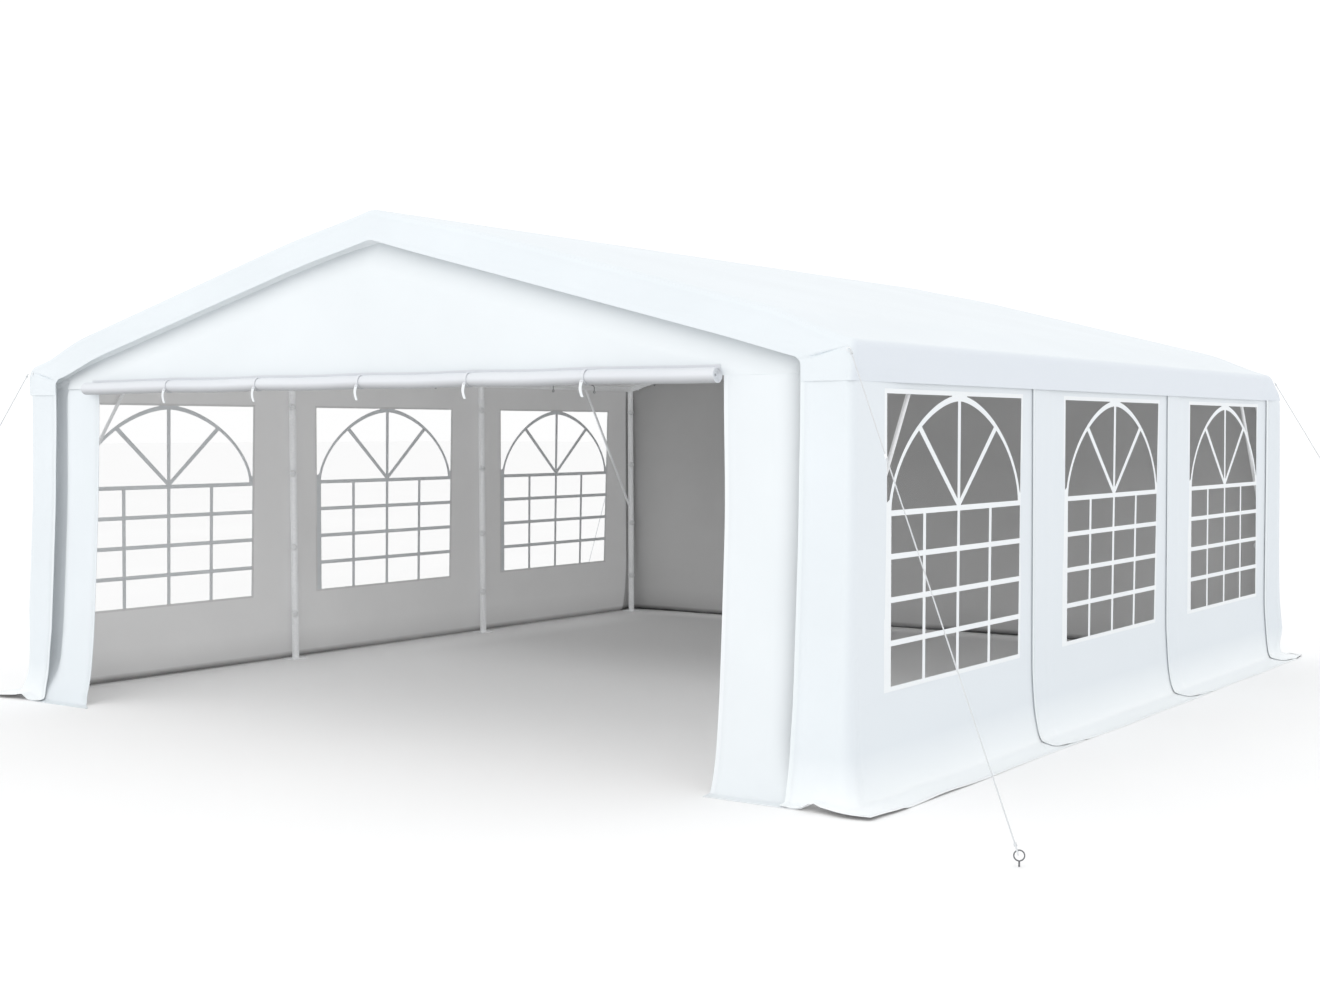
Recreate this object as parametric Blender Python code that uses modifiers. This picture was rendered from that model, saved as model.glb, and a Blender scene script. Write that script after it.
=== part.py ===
"""A white party tent, 6 m by 6 m, with its front wall rolled up.

A steel frame of four gable frames carries one roof cover, six side panels with windows,
a closed back wall and the two strips beside the open front. Four ropes stay its corners.
The origin is on the ground under the middle of the ridge. The front faces -Y, and +X is
on the right for someone who looks at the front.
"""

import math

import bmesh
import bpy
from mathutils import Vector

# Roof cover
HALF = 3.0  # from the middle to the outer face of the roof cover, on all four sides
PEAK_Z = 2.82
SLOPE = 0.2508  # fall of the roof for each metre outwards
VALANCE_Z = 1.885  # lower edge of the roof cover along the sides
RAKE_DEPTH = 0.146  # height of the band along the roof's edge on the gables
RAKE_INNER_X = {"left": 2.77, "right": 2.72}  # where that band turns down beside the walls
RAKE_ROUND = 0.05  # rounding of the band's inner corner

# Sheets
FABRIC = 0.006
FILM = 0.003
GAP = 0.0003  # between pieces that touch
LAYER = FABRIC + GAP

# Frame
SOCKET_R = 0.025  # the fittings' sockets for posts and rafters
SLEEVE_R = 0.0235  # the fittings' sleeves on the rails
POST_R = 0.025
RAIL_R = 0.0215
BRACE_R = 0.011
RAIL_INSET = 0.003  # a rail ends this far inside its last fittings
EAVE_RAIL_OVERHANG = 0.004
SLEEVE_LENGTH = 0.16
SOCKET_LENGTH = 0.12
FOOT_SIZE = 0.12
FOOT_THICK = 0.006
BAYS = 3
BRACE_LOW_Z = 0.99
BRACE_REACH = 0.61  # from a corner post along the eave rail

# Walls
WALL_PROFILE = (  # height, and how far the side walls and the end walls stand out there
    (0.0, 0.245, 0.210),
    (0.0, 0.095, 0.150),
    (0.018, 0.058, 0.128),
    (0.088, 0.034, 0.104),
    (0.19, 0.017, 0.084),
    (0.34, 0.006, 0.068),
    (0.488, 0.004, 0.055),
    (0.9, 0.003, 0.030),
    (1.3, 0.002, 0.010),
    (1.834, 0.0, 0.001),
    (1.885, 0.0, 0.0),
)
SQUARE_CORNER = 0.9  # how square the hem's corners are, from a round 0 to a full 1
ROUND_FROM_Z = 0.488  # from here up, the walls turn round the corner posts
WINDOW_BOTTOM = 0.488
WINDOW_TOP = 1.834
WINDOW_START = 0.30  # from the start of each 2 m bay
WINDOW_END = 1.68
SEAM_LEAD = 0.135  # a panel starts this far before its bay and covers the one before
BAY_STARTS = (-3.0, -0.98, 1.0)
SEAM_COVER = 0.19
SEAM_CLEARANCE = 0.005  # past the covered edge, before the panel bends down to the frame
SEAM_FALL = 0.04  # over which it bends down
CORNER_START = 0.05  # before a corner post, where a panel starts its turn
LAST_EDGE = 0.026  # from the last side panel's edge to the corner post's axis
FLAP_X = {"left": 2.775, "right": 2.72}  # where the first side panels end on the front
BACK_WRAP_Y = 2.84  # edge of the back wall where it wraps round to the sides
DOOR_X = {"left": 2.365, "right": 2.29}  # the doorway is cut a little off the middle
ROLL_X = {"left": 2.41, "right": 2.275}  # ends of the rolled-up front wall
STRIP_OUTER_X = 2.90
GABLE_BOTTOM_Z = 1.92
ROLL_R = 0.041
ROLL_Z = 1.924

# Ropes and pegs
PEG_X = 4.065
PEG_Y = 3.551
RING_R = 0.0207
RING_WIRE_R = 0.0028
RING_Z = 0.043
RING_TURN = 25  # degrees from the tent's width, towards the corner's own diagonal
SHANK_R = 0.0036
ROPE_R = 0.004
ROPE_TOP_Z = 2.02
KNOT_R = 0.009

# Worked out from the sizes above
CONTACT = SOCKET_R + GAP
FRAME = HALF - FABRIC - 2 * LAYER - CONTACT  # the frame's outermost tube axes
COS = 1 / math.hypot(1, SLOPE)
INNER_HALF = HALF - FABRIC
INNER_PEAK_Z = PEAK_Z - FABRIC / COS
RIDGE_Z = INNER_PEAK_Z - CONTACT / COS
EAVE_Z = RIDGE_Z - SLOPE * FRAME
FRAMES_Y = [-FRAME + 2 * FRAME * i / BAYS for i in range(BAYS + 1)]
POST_TOP_Z = EAVE_Z - SOCKET_LENGTH - GAP
ROUND_STEPS = 4

# Empty the scene, then make one collection for the tent
for old in list(bpy.data.objects):
    bpy.data.objects.remove(old, do_unlink=True)
tent = bpy.data.collections.new("marquee_tent")
bpy.context.scene.collection.children.link(tent)


def material(name, colour, roughness, metallic=0.0, alpha=1.0):
    made = bpy.data.materials.new(name)
    made.use_nodes = True
    shader = made.node_tree.nodes["Principled BSDF"]
    shader.inputs["Base Color"].default_value = (*colour, 1.0)
    shader.inputs["Roughness"].default_value = roughness
    shader.inputs["Metallic"].default_value = metallic
    shader.inputs["Alpha"].default_value = alpha
    made.diffuse_color = (*colour, alpha)
    return made


WHITE_SHEET = material("white_sheet", (0.88, 0.89, 0.91), 0.55)
CLEAR_FILM = material("clear_film", (0.80, 0.82, 0.84), 0.10, alpha=0.35)
GALVANISED = material("galvanised_steel", (0.62, 0.63, 0.65), 0.40, metallic=0.9)
WHITE_ROPE = material("white_rope", (0.82, 0.82, 0.82), 0.80)
DARK_STEEL = material("dark_steel", (0.20, 0.20, 0.21), 0.45, metallic=0.9)


def add_object(name, mesh, look):
    made = bpy.data.objects.new(name, mesh)
    mesh.materials.clear()
    mesh.materials.append(look)
    tent.objects.link(made)
    return made


def tube(name, start, end, radius, look, sides=16):
    """A solid round bar from one point to another."""
    start, end = Vector(start), Vector(end)
    form = bmesh.new()
    bmesh.ops.create_cone(
        form,
        cap_ends=True,
        segments=sides,
        radius1=radius,
        radius2=radius,
        depth=(end - start).length,
    )
    mesh = bpy.data.meshes.new(name)
    form.to_mesh(mesh)
    form.free()
    mesh.shade_smooth()
    mesh.set_sharp_from_angle(angle=math.radians(35))
    made = add_object(name, mesh, look)
    made.location = (start + end) / 2
    made.rotation_mode = "QUATERNION"
    made.rotation_quaternion = (end - start).to_track_quat("Z", "Y")
    return made


def fuse(name, pieces, look):
    """One object from several that overlap, in the place of the first."""
    first = pieces[0]
    for piece in pieces[1:]:
        union = first.modifiers.new("union", "BOOLEAN")
        union.operation = "UNION"
        union.solver = "EXACT"
        union.object = piece
    bpy.context.view_layer.update()
    graph = bpy.context.evaluated_depsgraph_get()
    mesh = bpy.data.meshes.new_from_object(first.evaluated_get(graph))
    mesh.name = name
    place = first.matrix_world.copy()
    for piece in pieces:
        bpy.data.objects.remove(piece, do_unlink=True)
    made = add_object(name, mesh, look)
    made.matrix_world = place
    return made


# Steel frame


def roof_point(x, y):
    """A point on the axes of the rafters, which run from the ridge to the eaves."""
    return Vector((x, y, RIDGE_Z - SLOPE * abs(x)))


def rail(name, x, reach, sockets):
    """A horizontal tube along the tent, with a fitting at each frame.

    reach is where its last fittings end, on both sides of the middle. sockets lists the
    unit directions in which each fitting holds a tube.
    """
    z = roof_point(x, 0).z
    tube_end = reach - RAIL_INSET
    pieces = [tube(name, (x, -tube_end, z), (x, tube_end, z), RAIL_R, GALVANISED)]
    for y in FRAMES_Y:
        low = max(y - SLEEVE_LENGTH / 2, -reach)
        high = min(y + SLEEVE_LENGTH / 2, reach)
        pieces.append(tube("sleeve", (x, low, z), (x, high, z), SLEEVE_R, GALVANISED))
        for direction in sockets:
            middle = Vector((x, y, z))
            end = middle + Vector(direction) * SOCKET_LENGTH
            pieces.append(tube("socket", middle, end, SOCKET_R, GALVANISED))
    return fuse(name, pieces, GALVANISED)


def post(name, x, y):
    bar = tube(name, (x, y, FOOT_THICK / 2), (x, y, POST_TOP_Z), POST_R, GALVANISED)
    bpy.ops.mesh.primitive_cube_add(size=1, location=(x, y, FOOT_THICK / 2))
    plate = bpy.context.object
    plate.scale = (FOOT_SIZE, FOOT_SIZE, FOOT_THICK)
    return fuse(name, [bar, plate], GALVANISED)


def knee_brace(name, x, side):
    """A diagonal from a corner post to the eave rail, trimmed flush to both."""
    post_face = FRAME - POST_R - GAP
    rail_face = EAVE_Z - RAIL_R - GAP
    low = Vector((x, side * post_face, BRACE_LOW_Z))
    high = Vector((x, side * (FRAME - BRACE_REACH), rail_face))
    along = (high - low).normalized()
    made = tube(name, low - along * 0.1, high + along * 0.1, BRACE_R, GALVANISED)
    form = bmesh.new()
    form.from_mesh(made.data)
    form.transform(made.matrix_basis)
    for point, outward in ((low, (0, side, 0)), (high, (0, 0, 1))):
        everything = form.verts[:] + form.edges[:] + form.faces[:]
        bmesh.ops.bisect_plane(
            form, geom=everything, plane_co=point, plane_no=outward, clear_outer=True
        )
        rim = [edge for edge in form.edges if edge.is_boundary]
        bmesh.ops.holes_fill(form, edges=rim)
    form.to_mesh(made.data)
    form.free()
    made.matrix_basis.identity()
    made.location = (0, 0, 0)
    made.rotation_quaternion = (1, 0, 0, 0)
    return made


def build_frame():
    slope_left = (-COS, 0, -SLOPE * COS)
    slope_right = (COS, 0, -SLOPE * COS)
    rail("ridge_rail", 0, FRAME + SOCKET_R, [slope_left, slope_right])
    for side, word in ((-1, "left"), (1, "right")):
        x = side * FRAME
        up_slope = (-side * COS, 0, SLOPE * COS)
        rail(f"eave_rail_{word}", x, FRAME + EAVE_RAIL_OVERHANG, [(0, 0, -1), up_slope])
        near = (SOCKET_LENGTH + GAP) * COS
        for number, y in enumerate(FRAMES_Y, 1):
            top = roof_point(side * near, y)
            bottom = roof_point(side * (FRAME - near), y)
            tube(f"rafter_{word}_{number}", top, bottom, RAIL_R, GALVANISED)
            post(f"post_{word}_{number}", x, y)
        knee_brace(f"knee_brace_front_{word}", x, -1)
        knee_brace(f"knee_brace_back_{word}", x, 1)


# Walls


def wall_row(z):
    """The wall's place at a height above the ground."""
    for low, high in zip(WALL_PROFILE, WALL_PROFILE[1:]):
        if low[0] < z <= high[0]:
            part = (z - low[0]) / (high[0] - low[0])
            return tuple(a + (b - a) * part for a, b in zip(low, high))
    return (z, 0.0, 0.0)


def under_roof(x):
    """The height of the roof cover's lower face, less the gap below it."""
    return INNER_PEAK_Z - SLOPE * abs(x) - GAP / COS


def rows_up_to(high, low=None):
    """The rows of a sheet up to a height, from the wall's hem on the ground or from low."""
    rows = [row for row in WALL_PROFILE if row[0] < high and (low is None or row[0] > low)]
    if low is not None:
        rows.insert(0, wall_row(low))
    return [*rows, wall_row(high)]


def corner_spread(nx, ny, z):
    """How much further out a corner reaches near the ground, where it goes square."""
    full = 1 / max(abs(nx), abs(ny)) - 1
    return 1 + full * SQUARE_CORNER * max(0.0, 1 - z / ROUND_FROM_Z)


def lifted(profile, distance):
    """A profile of places out and up, moved along its normals to lie on another sheet."""
    ways = [(far - near).normalized() for near, far in zip(profile, profile[1:])]
    normals = [Vector((way.y, -way.x)) for way in ways]
    made = []
    for below, above, point in zip([normals[0], *normals], [*normals, normals[-1]], profile):
        made.append(point + (below + above) / (1 + below.dot(above)) * distance)
    return made


def side_station(y, layer=0):
    """A station is a point on the frame's outline, the way out, and the layer."""
    return (FRAME, y, 1.0, 0.0, layer)


def corner_stations(y, first_angle):
    """A quarter turn round a corner post, from the outer layer to the inner one.

    Its middle points lie a little further out, so that the flats clear the round post.
    """
    made = []
    for step in range(ROUND_STEPS + 1):
        angle = math.radians(first_angle + 90 * step / ROUND_STEPS)
        reach = 1.0
        if 0 < step < ROUND_STEPS:
            reach = 1 / math.cos(math.radians(45 / ROUND_STEPS))
        layer = 1 - step / ROUND_STEPS
        made.append((FRAME, y, reach * math.cos(angle), reach * math.sin(angle), layer))
    return made


def mirrored(stations):
    """The same stations on the left, still going round the tent the same way."""
    return [(-x, y, -nx, ny, layer) for x, y, nx, ny, layer in reversed(stations)]


def sheet(name, stations, rows, look, hole=None, gable=False, thick=FABRIC):
    """A wall piece: its inner face over a grid of stations and rows, made solid.

    hole is a pair of places along Y between which the window is left open. A gable
    piece goes on up to the roof where it faces the front or the back.
    """
    form = bmesh.new()
    columns = []
    for x, y, nx, ny, layer in stations:
        profile = []
        for z, side, end in rows:
            out = (side * nx * nx + end * ny * ny) * corner_spread(nx, ny, z)
            profile.append(Vector((CONTACT + out, z)))
        column = []
        for out, z in lifted(profile, layer * LAYER):
            column.append(form.verts.new((x + nx * out, y + ny * out, z)))
        if gable and abs(x) <= STRIP_OUTER_X:
            column.append(form.verts.new((x, y + ny * CONTACT, under_roof(x))))
        columns.append(column)
    for near, far in zip(columns, columns[1:]):
        for row in range(min(len(near), len(far)) - 1):
            corners = (near[row], far[row], far[row + 1], near[row + 1])
            middle = sum((corner.co for corner in corners), Vector()) / 4
            in_window = WINDOW_BOTTOM < middle.z < WINDOW_TOP
            if hole and in_window and hole[0] < middle.y < hole[1]:
                continue
            form.faces.new(corners)
    mesh = bpy.data.meshes.new(name)
    form.to_mesh(mesh)
    form.free()
    made = add_object(name, mesh, look)
    solid = made.modifiers.new("thickness", "SOLIDIFY")
    solid.thickness = thick
    solid.offset = 1
    solid.use_even_offset = True
    return made


def side_panel(number, word):
    """The stations of one side panel, seen on the right, and where its window lies."""
    start = BAY_STARTS[number - 1]
    window = (-3.0 + 2 * (number - 1) + WINDOW_START, -3.0 + 2 * (number - 1) + WINDOW_END)
    if number == 1:
        flap = [(x, -FRAME, 0.0, -1.0, 1) for x in (FLAP_X[word], FRAME - CORNER_START)]
        stations = flap + corner_stations(-FRAME, -90)
    else:
        edge = start - SEAM_LEAD
        bend = edge + SEAM_COVER + SEAM_CLEARANCE
        stations = [side_station(edge, 1), side_station(bend, 1), side_station(bend + SEAM_FALL)]
    stations += [side_station(window[0]), side_station(window[1])]
    if number < BAYS:
        end = BAY_STARTS[number] - SEAM_LEAD + SEAM_COVER
    else:
        end = FRAME - LAST_EDGE
    stations.append(side_station(end))
    return stations, window


def build_walls():
    rows = rows_up_to(EAVE_Z)
    pane_rows = rows_up_to(WINDOW_TOP - GAP, WINDOW_BOTTOM + GAP)
    for word, turn in (("right", list), ("left", mirrored)):
        for number in range(1, BAYS + 1):
            stations, window = side_panel(number, word)
            pane = [side_station(window[0] + GAP), side_station(window[1] - GAP)]
            sheet(f"side_wall_{word}_{number}", turn(stations), rows, WHITE_SHEET, hole=window)
            film = f"window_film_{word}_{number}"
            sheet(film, turn(pane), pane_rows, CLEAR_FILM, thick=FILM)

    half = [side_station(BACK_WRAP_Y, 1), *corner_stations(FRAME, 0)]
    half.append((STRIP_OUTER_X, FRAME, 0.0, 1.0, 0))
    ridge = [(0.0, FRAME, 0.0, 1.0, 0)]
    sheet("back_wall", half + ridge + mirrored(half), rows, WHITE_SHEET, gable=True)

    gable = [(x, -FRAME, 0.0, -1.0, 0) for x in (-STRIP_OUTER_X, 0.0, STRIP_OUTER_X)]
    gable_rows = rows_up_to(EAVE_Z, GABLE_BOTTOM_Z)
    sheet("front_gable_panel", gable, gable_rows, WHITE_SHEET, gable=True)
    strip_rows = rows_up_to(GABLE_BOTTOM_Z - GAP)
    for word, turn in (("right", list), ("left", mirrored)):
        strip = [(x, -FRAME, 0.0, -1.0, 0) for x in (DOOR_X[word], STRIP_OUTER_X)]
        sheet(f"front_strip_{word}", turn(strip), strip_rows, WHITE_SHEET)

    y = -(FRAME + CONTACT + FABRIC + GAP + ROLL_R)
    left_end = (-ROLL_X["left"], y, ROLL_Z)
    right_end = (ROLL_X["right"], y, ROLL_Z)
    tube("door_roll", left_end, right_end, ROLL_R, WHITE_SHEET, 24)


# Roof cover


def eave_profile():
    """The cover's inner face at the right eave, from the valance up to the slope."""
    tangent = Vector((FRAME + CONTACT * SLOPE * COS, 0, EAVE_Z + CONTACT * COS))
    bottom = Vector((INNER_HALF, 0, EAVE_Z + GAP))
    bend = Vector((INNER_HALF, 0, tangent.z - SLOPE * (INNER_HALF - tangent.x)))
    profile = [Vector((INNER_HALF, 0, VALANCE_Z))]
    for step in range(ROUND_STEPS + 1):
        t = step / ROUND_STEPS
        profile.append(bottom.lerp(bend, t).lerp(bend.lerp(tangent, t), t))
    return profile


def rake_profile(inner_x):
    """The inner edge of the band on the gable, point for point with the eave."""
    slope_z = INNER_PEAK_Z - RAKE_DEPTH
    bend = Vector((inner_x, 0, slope_z - SLOPE * inner_x))
    low = bend - Vector((0, 0, RAKE_ROUND))
    high = bend + Vector((-RAKE_ROUND, 0, SLOPE * RAKE_ROUND))
    profile = [Vector((inner_x, 0, VALANCE_Z))]
    for step in range(ROUND_STEPS + 1):
        t = step / ROUND_STEPS
        profile.append(low.lerp(bend, t).lerp(bend.lerp(high, t), t))
    return profile


def whole_outline(right, left, peak_z):
    """A right half and the mirror image of a left one, joined at the ridge."""
    turned = [Vector((-point.x, 0, point.z)) for point in reversed(left)]
    return right + [Vector((0, 0, peak_z))] + turned


def build_roof():
    """One open surface of slopes, valances and gable bands, made solid outwards."""
    rakes = {word: rake_profile(inner_x) for word, inner_x in RAKE_INNER_X.items()}
    outer = whole_outline(eave_profile(), eave_profile(), INNER_PEAK_Z)
    inner = whole_outline(rakes["right"], rakes["left"], INNER_PEAK_Z - RAKE_DEPTH)
    form = bmesh.new()
    rows = []
    for y, outline in (
        (-INNER_HALF, inner),
        (-INNER_HALF, outer),
        (INNER_HALF, outer),
        (INNER_HALF, inner),
    ):
        rows.append([form.verts.new((point.x, y, point.z)) for point in outline])
    for near, far in zip(rows, rows[1:]):
        for i in range(len(near) - 1):
            form.faces.new((near[i], near[i + 1], far[i + 1], far[i]))
    form.normal_update()
    middle = max(form.faces, key=lambda face: face.calc_center_median().z * face.calc_area())
    if middle.normal.z < 0:
        bmesh.ops.reverse_faces(form, faces=form.faces[:])
    mesh = bpy.data.meshes.new("roof_cover")
    form.to_mesh(mesh)
    form.free()
    cover = add_object("roof_cover", mesh, WHITE_SHEET)
    solid = cover.modifiers.new("thickness", "SOLIDIFY")
    solid.thickness = FABRIC
    solid.offset = 1
    solid.use_even_offset = True


# Ropes and pegs


def knot(centre, radius):
    bpy.ops.mesh.primitive_ico_sphere_add(subdivisions=2, radius=radius, location=centre)
    return bpy.context.object


def ring_turn(side_x, side_y):
    """How far a peg's ring is turned from the tent's width, seen from above."""
    return math.radians(-side_x * side_y * RING_TURN)


def guy_rope(name, side_x, side_y):
    """A taut rope from a corner of the roof to its peg, with a knot at each end."""
    ring = Vector((side_x * PEG_X, side_y * PEG_Y, RING_Z))
    away = Vector((side_x, side_y, 0)).normalized()
    top = Vector((side_x * HALF, side_y * HALF, ROPE_TOP_Z)) + away * (KNOT_R + GAP)
    turn = ring_turn(side_x, side_y)
    level = Vector((math.cos(turn), math.sin(turn), 0))
    pull = top - ring
    seat = (level * pull.dot(level) + Vector((0, 0, pull.z))).normalized()
    bottom = ring + seat * (RING_R + RING_WIRE_R + GAP + KNOT_R)
    line = tube(name, bottom, top, ROPE_R, WHITE_ROPE, 8)
    fuse(name, [line, knot(top, KNOT_R), knot(bottom, KNOT_R)], WHITE_ROPE)


def ground_peg(name, side_x, side_y):
    """The part of a steel peg above the ground: a short shank and its ring."""
    turn = ring_turn(side_x, side_y)
    bpy.ops.mesh.primitive_torus_add(
        major_radius=RING_R,
        minor_radius=RING_WIRE_R,
        major_segments=20,
        minor_segments=6,
        location=(side_x * PEG_X, side_y * PEG_Y, RING_Z),
        rotation=(math.radians(90), 0, turn),
    )
    ring = bpy.context.object
    foot = Vector((side_x * PEG_X, side_y * PEG_Y, 0))
    shank = tube(name, foot, foot + Vector((0, 0, RING_Z - RING_R)), SHANK_R, DARK_STEEL, 8)
    fuse(name, [shank, ring], DARK_STEEL)


def build_stays():
    for side_y, end in ((-1, "front"), (1, "back")):
        for side_x, word in ((-1, "left"), (1, "right")):
            guy_rope(f"guy_rope_{end}_{word}", side_x, side_y)
            ground_peg(f"ground_peg_{end}_{word}", side_x, side_y)


build_frame()
build_walls()
build_roof()
build_stays()
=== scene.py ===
"""Looks of a white party tent, 6 m by 6 m, with its front wall rolled up.

The tent faces -Y and stands on the ground at z 0. The sections follow it as it is put up:
the steel frame, the roof cover, the walls with their windows, the rolled-up front wall, and
then the ropes and pegs.
"""

import math

import bmesh
import bpy
from mathutils import Matrix, Vector, noise


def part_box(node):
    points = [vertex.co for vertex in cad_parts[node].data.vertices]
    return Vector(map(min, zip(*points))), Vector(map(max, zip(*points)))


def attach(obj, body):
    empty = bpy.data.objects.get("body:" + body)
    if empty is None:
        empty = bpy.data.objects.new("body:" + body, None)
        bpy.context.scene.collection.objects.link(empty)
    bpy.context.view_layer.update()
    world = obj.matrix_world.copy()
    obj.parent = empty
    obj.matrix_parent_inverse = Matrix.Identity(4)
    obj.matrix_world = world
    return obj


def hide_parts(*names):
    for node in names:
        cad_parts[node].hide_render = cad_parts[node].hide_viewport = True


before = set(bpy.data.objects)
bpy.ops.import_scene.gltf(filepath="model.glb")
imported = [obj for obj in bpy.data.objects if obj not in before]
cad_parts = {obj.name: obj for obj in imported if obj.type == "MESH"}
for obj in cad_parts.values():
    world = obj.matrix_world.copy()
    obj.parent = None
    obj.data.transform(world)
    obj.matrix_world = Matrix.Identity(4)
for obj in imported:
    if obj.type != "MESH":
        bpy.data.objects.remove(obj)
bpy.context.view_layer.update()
bpy.ops.object.select_all(action="DESELECT")

# Galvanised steel: the whole frame is mild steel tube, hot dipped in zinc after it was cut.
# The zinc weathers to a pale, nearly matt grey with a faint patchwork of crystals.
SPANGLE = 0.009  # width of a zinc crystal
STEEL_GLOW = 0.10  # stands for the light that white sheets all round throw on to the tubes
WHITE = (1.0, 1.0, 1.0, 1.0)


def linear(hex_colour):
    """An sRGB hex colour as the linear numbers that a shader takes."""
    parts = [int(hex_colour[i : i + 2], 16) / 255 for i in (1, 3, 5)]
    return (*(p / 12.92 if p <= 0.04045 else ((p + 0.055) / 1.055) ** 2.4 for p in parts), 1.0)


def add_node(tree, kind, inputs=None, **settings):
    """A new node with its settings; inputs gives a socket a value, or the output that feeds it."""
    made = tree.nodes.new("ShaderNode" + kind)
    for name, value in settings.items():
        setattr(made, name, value)
    for socket, value in (inputs or {}).items():
        if isinstance(value, bpy.types.NodeSocket):
            tree.links.new(value, made.inputs[socket])
        else:
            made.inputs[socket].default_value = value
    return made


def new_finish(name, values):
    """A material of one Principled shader, with its constant values set on the shader itself."""
    made = bpy.data.materials.new(name)
    made.use_nodes = True
    shader = made.node_tree.nodes["Principled BSDF"]
    for socket, value in values.items():
        shader.inputs[socket].default_value = value
    return made, made.node_tree, shader


def two_tones(tree, factor, low, high, dark, light):
    """A colour that goes from dark to light as a pattern goes from low to high."""
    ramp = add_node(tree, "ValToRGB", {"Fac": factor})
    ramp.color_ramp.elements[0].position = low
    ramp.color_ramp.elements[0].color = linear(dark)
    ramp.color_ramp.elements[1].position = high
    ramp.color_ramp.elements[1].color = linear(light)
    return ramp.outputs["Color"]


def galvanised_steel():
    values = {"Metallic": 0.12, "Emission Color": WHITE, "Emission Strength": STEEL_GLOW}
    made, tree, shader = new_finish("galvanised_steel", values)
    place = add_node(tree, "TexCoord").outputs["Object"]
    crystals = add_node(tree, "TexVoronoi", {"Vector": place, "Scale": 1 / SPANGLE})
    smears = add_node(tree, "TexNoise", {"Vector": place, "Scale": 14.0, "Detail": 4.0})
    both = {0: crystals.outputs["Color"], 1: smears.outputs["Fac"]}
    tone = add_node(tree, "Math", both, operation="MULTIPLY").outputs[0]
    metal = two_tones(tree, tone, 0.05, 0.75, "#E6E8EA", "#F3F4F5")
    tree.links.new(metal, shader.inputs["Base Color"])
    dulled = add_node(tree, "MapRange", {"Value": smears.outputs["Fac"], 3: 0.30, 4: 0.44})
    tree.links.new(dulled.outputs["Result"], shader.inputs["Roughness"])
    relief = {"Height": crystals.outputs["Distance"], "Strength": 0.08, "Distance": 0.0004}
    tree.links.new(add_node(tree, "Bump", relief).outputs["Normal"], shader.inputs["Normal"])
    return made


GALVANISED_STEEL = galvanised_steel()

# Posts: eight straight steel tubes, each welded to a square foot plate with two peg holes.
# They stand on the ground, three bays long on each side, and hold up the eaves.
far_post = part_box("post_right_4")
HALF_FRAME = (far_post[0].x + far_post[1].x) / 2  # to the outermost tubes' axes, on all sides
POST_TOP_Z = far_post[1].z
FOOT_SIZE = far_post[1].x - far_post[0].x
BAYS = 3
FRAMES_Y = [HALF_FRAME * (2 * i / BAYS - 1) for i in range(BAYS + 1)]
SIDES = ((-1, "left"), (1, "right"))
POST_R = 0.025
TUBE_WALL = 0.0015
TUBE_SIDES = 40
FOOT_THICK = 0.006
FOOT_CORNER = 0.010
PEG_HOLE_R = 0.0065
PEG_HOLE_REACH = 0.043
WELD_R = 0.003
BROKEN_RIM = 0.0008  # rounding of a cut metal edge
SMOOTH_UNDER = math.radians(35)  # faces that meet at less than this are shaded as one


def only(*pieces):
    """Selects these pieces and nothing else, the first of them active."""
    bpy.ops.object.select_all(action="DESELECT")
    for piece in pieces:
        piece.select_set(True)
    bpy.context.view_layer.objects.active = pieces[0]


def applied(piece, kind, **settings):
    """Adds one modifier of this kind to a piece and makes it part of its mesh."""
    only(piece)
    modifier = piece.modifiers.new(kind.lower(), kind)
    for name, value in settings.items():
        setattr(modifier, name, value)
    bpy.ops.object.modifier_apply(modifier=modifier.name)
    return piece


def edit(piece, mode, wanted):
    """Goes into edit mode on a piece with only the wanted vertices, edges or faces selected."""
    only(piece)
    bpy.ops.object.mode_set(mode="EDIT")
    bpy.ops.mesh.select_mode(type=mode)
    bpy.ops.mesh.select_all(action="DESELECT")
    cage = bmesh.from_edit_mesh(piece.data)
    parts = {"VERT": cage.verts, "EDGE": cage.edges, "FACE": cage.faces}[mode]
    for part in parts:
        if wanted(part):
            part.select_set(True)
    bmesh.update_edit_mesh(piece.data)


def leave_edit():
    bpy.ops.object.mode_set(mode="OBJECT")


def settled(piece, name, finish):
    """Puts a piece's place into its mesh, and gives it its name and finish."""
    only(piece)
    bpy.ops.object.transform_apply(location=True, rotation=True, scale=True)
    piece.name = piece.data.name = name
    piece.data.materials.clear()
    piece.data.materials.append(finish)
    return piece


def joined(name, pieces):
    """One piece of several, each of which keeps its own finish."""
    only(*pieces)
    bpy.ops.object.join()
    whole = bpy.context.object
    whole.name = whole.data.name = name
    return whole


def rims_broken(piece, **settings):
    """Rounds the sharp edges of a metal piece a little, and shades its round faces smooth."""
    applied(piece, "BEVEL", width=BROKEN_RIM, segments=2, limit_method="ANGLE", **settings)
    bpy.ops.object.shade_smooth_by_angle(angle=SMOOTH_UNDER)
    return piece


def placed_copy(model, name, matrix):
    """A copy of a modelled piece with its own mesh, put in its place inside that mesh."""
    mesh = model.data.copy()
    mesh.name = name
    mesh.transform(matrix)
    if matrix.determinant() < 0:
        mesh.flip_normals()
    made = bpy.data.objects.new(name, mesh)
    bpy.context.scene.collection.objects.link(made)
    return made


def hand_over(piece, slot, *nodes):
    """The finished piece rides on the tent, in place of these nodes of the frame."""
    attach(piece, "root")
    if nodes:
        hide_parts(*nodes)
    return piece


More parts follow.
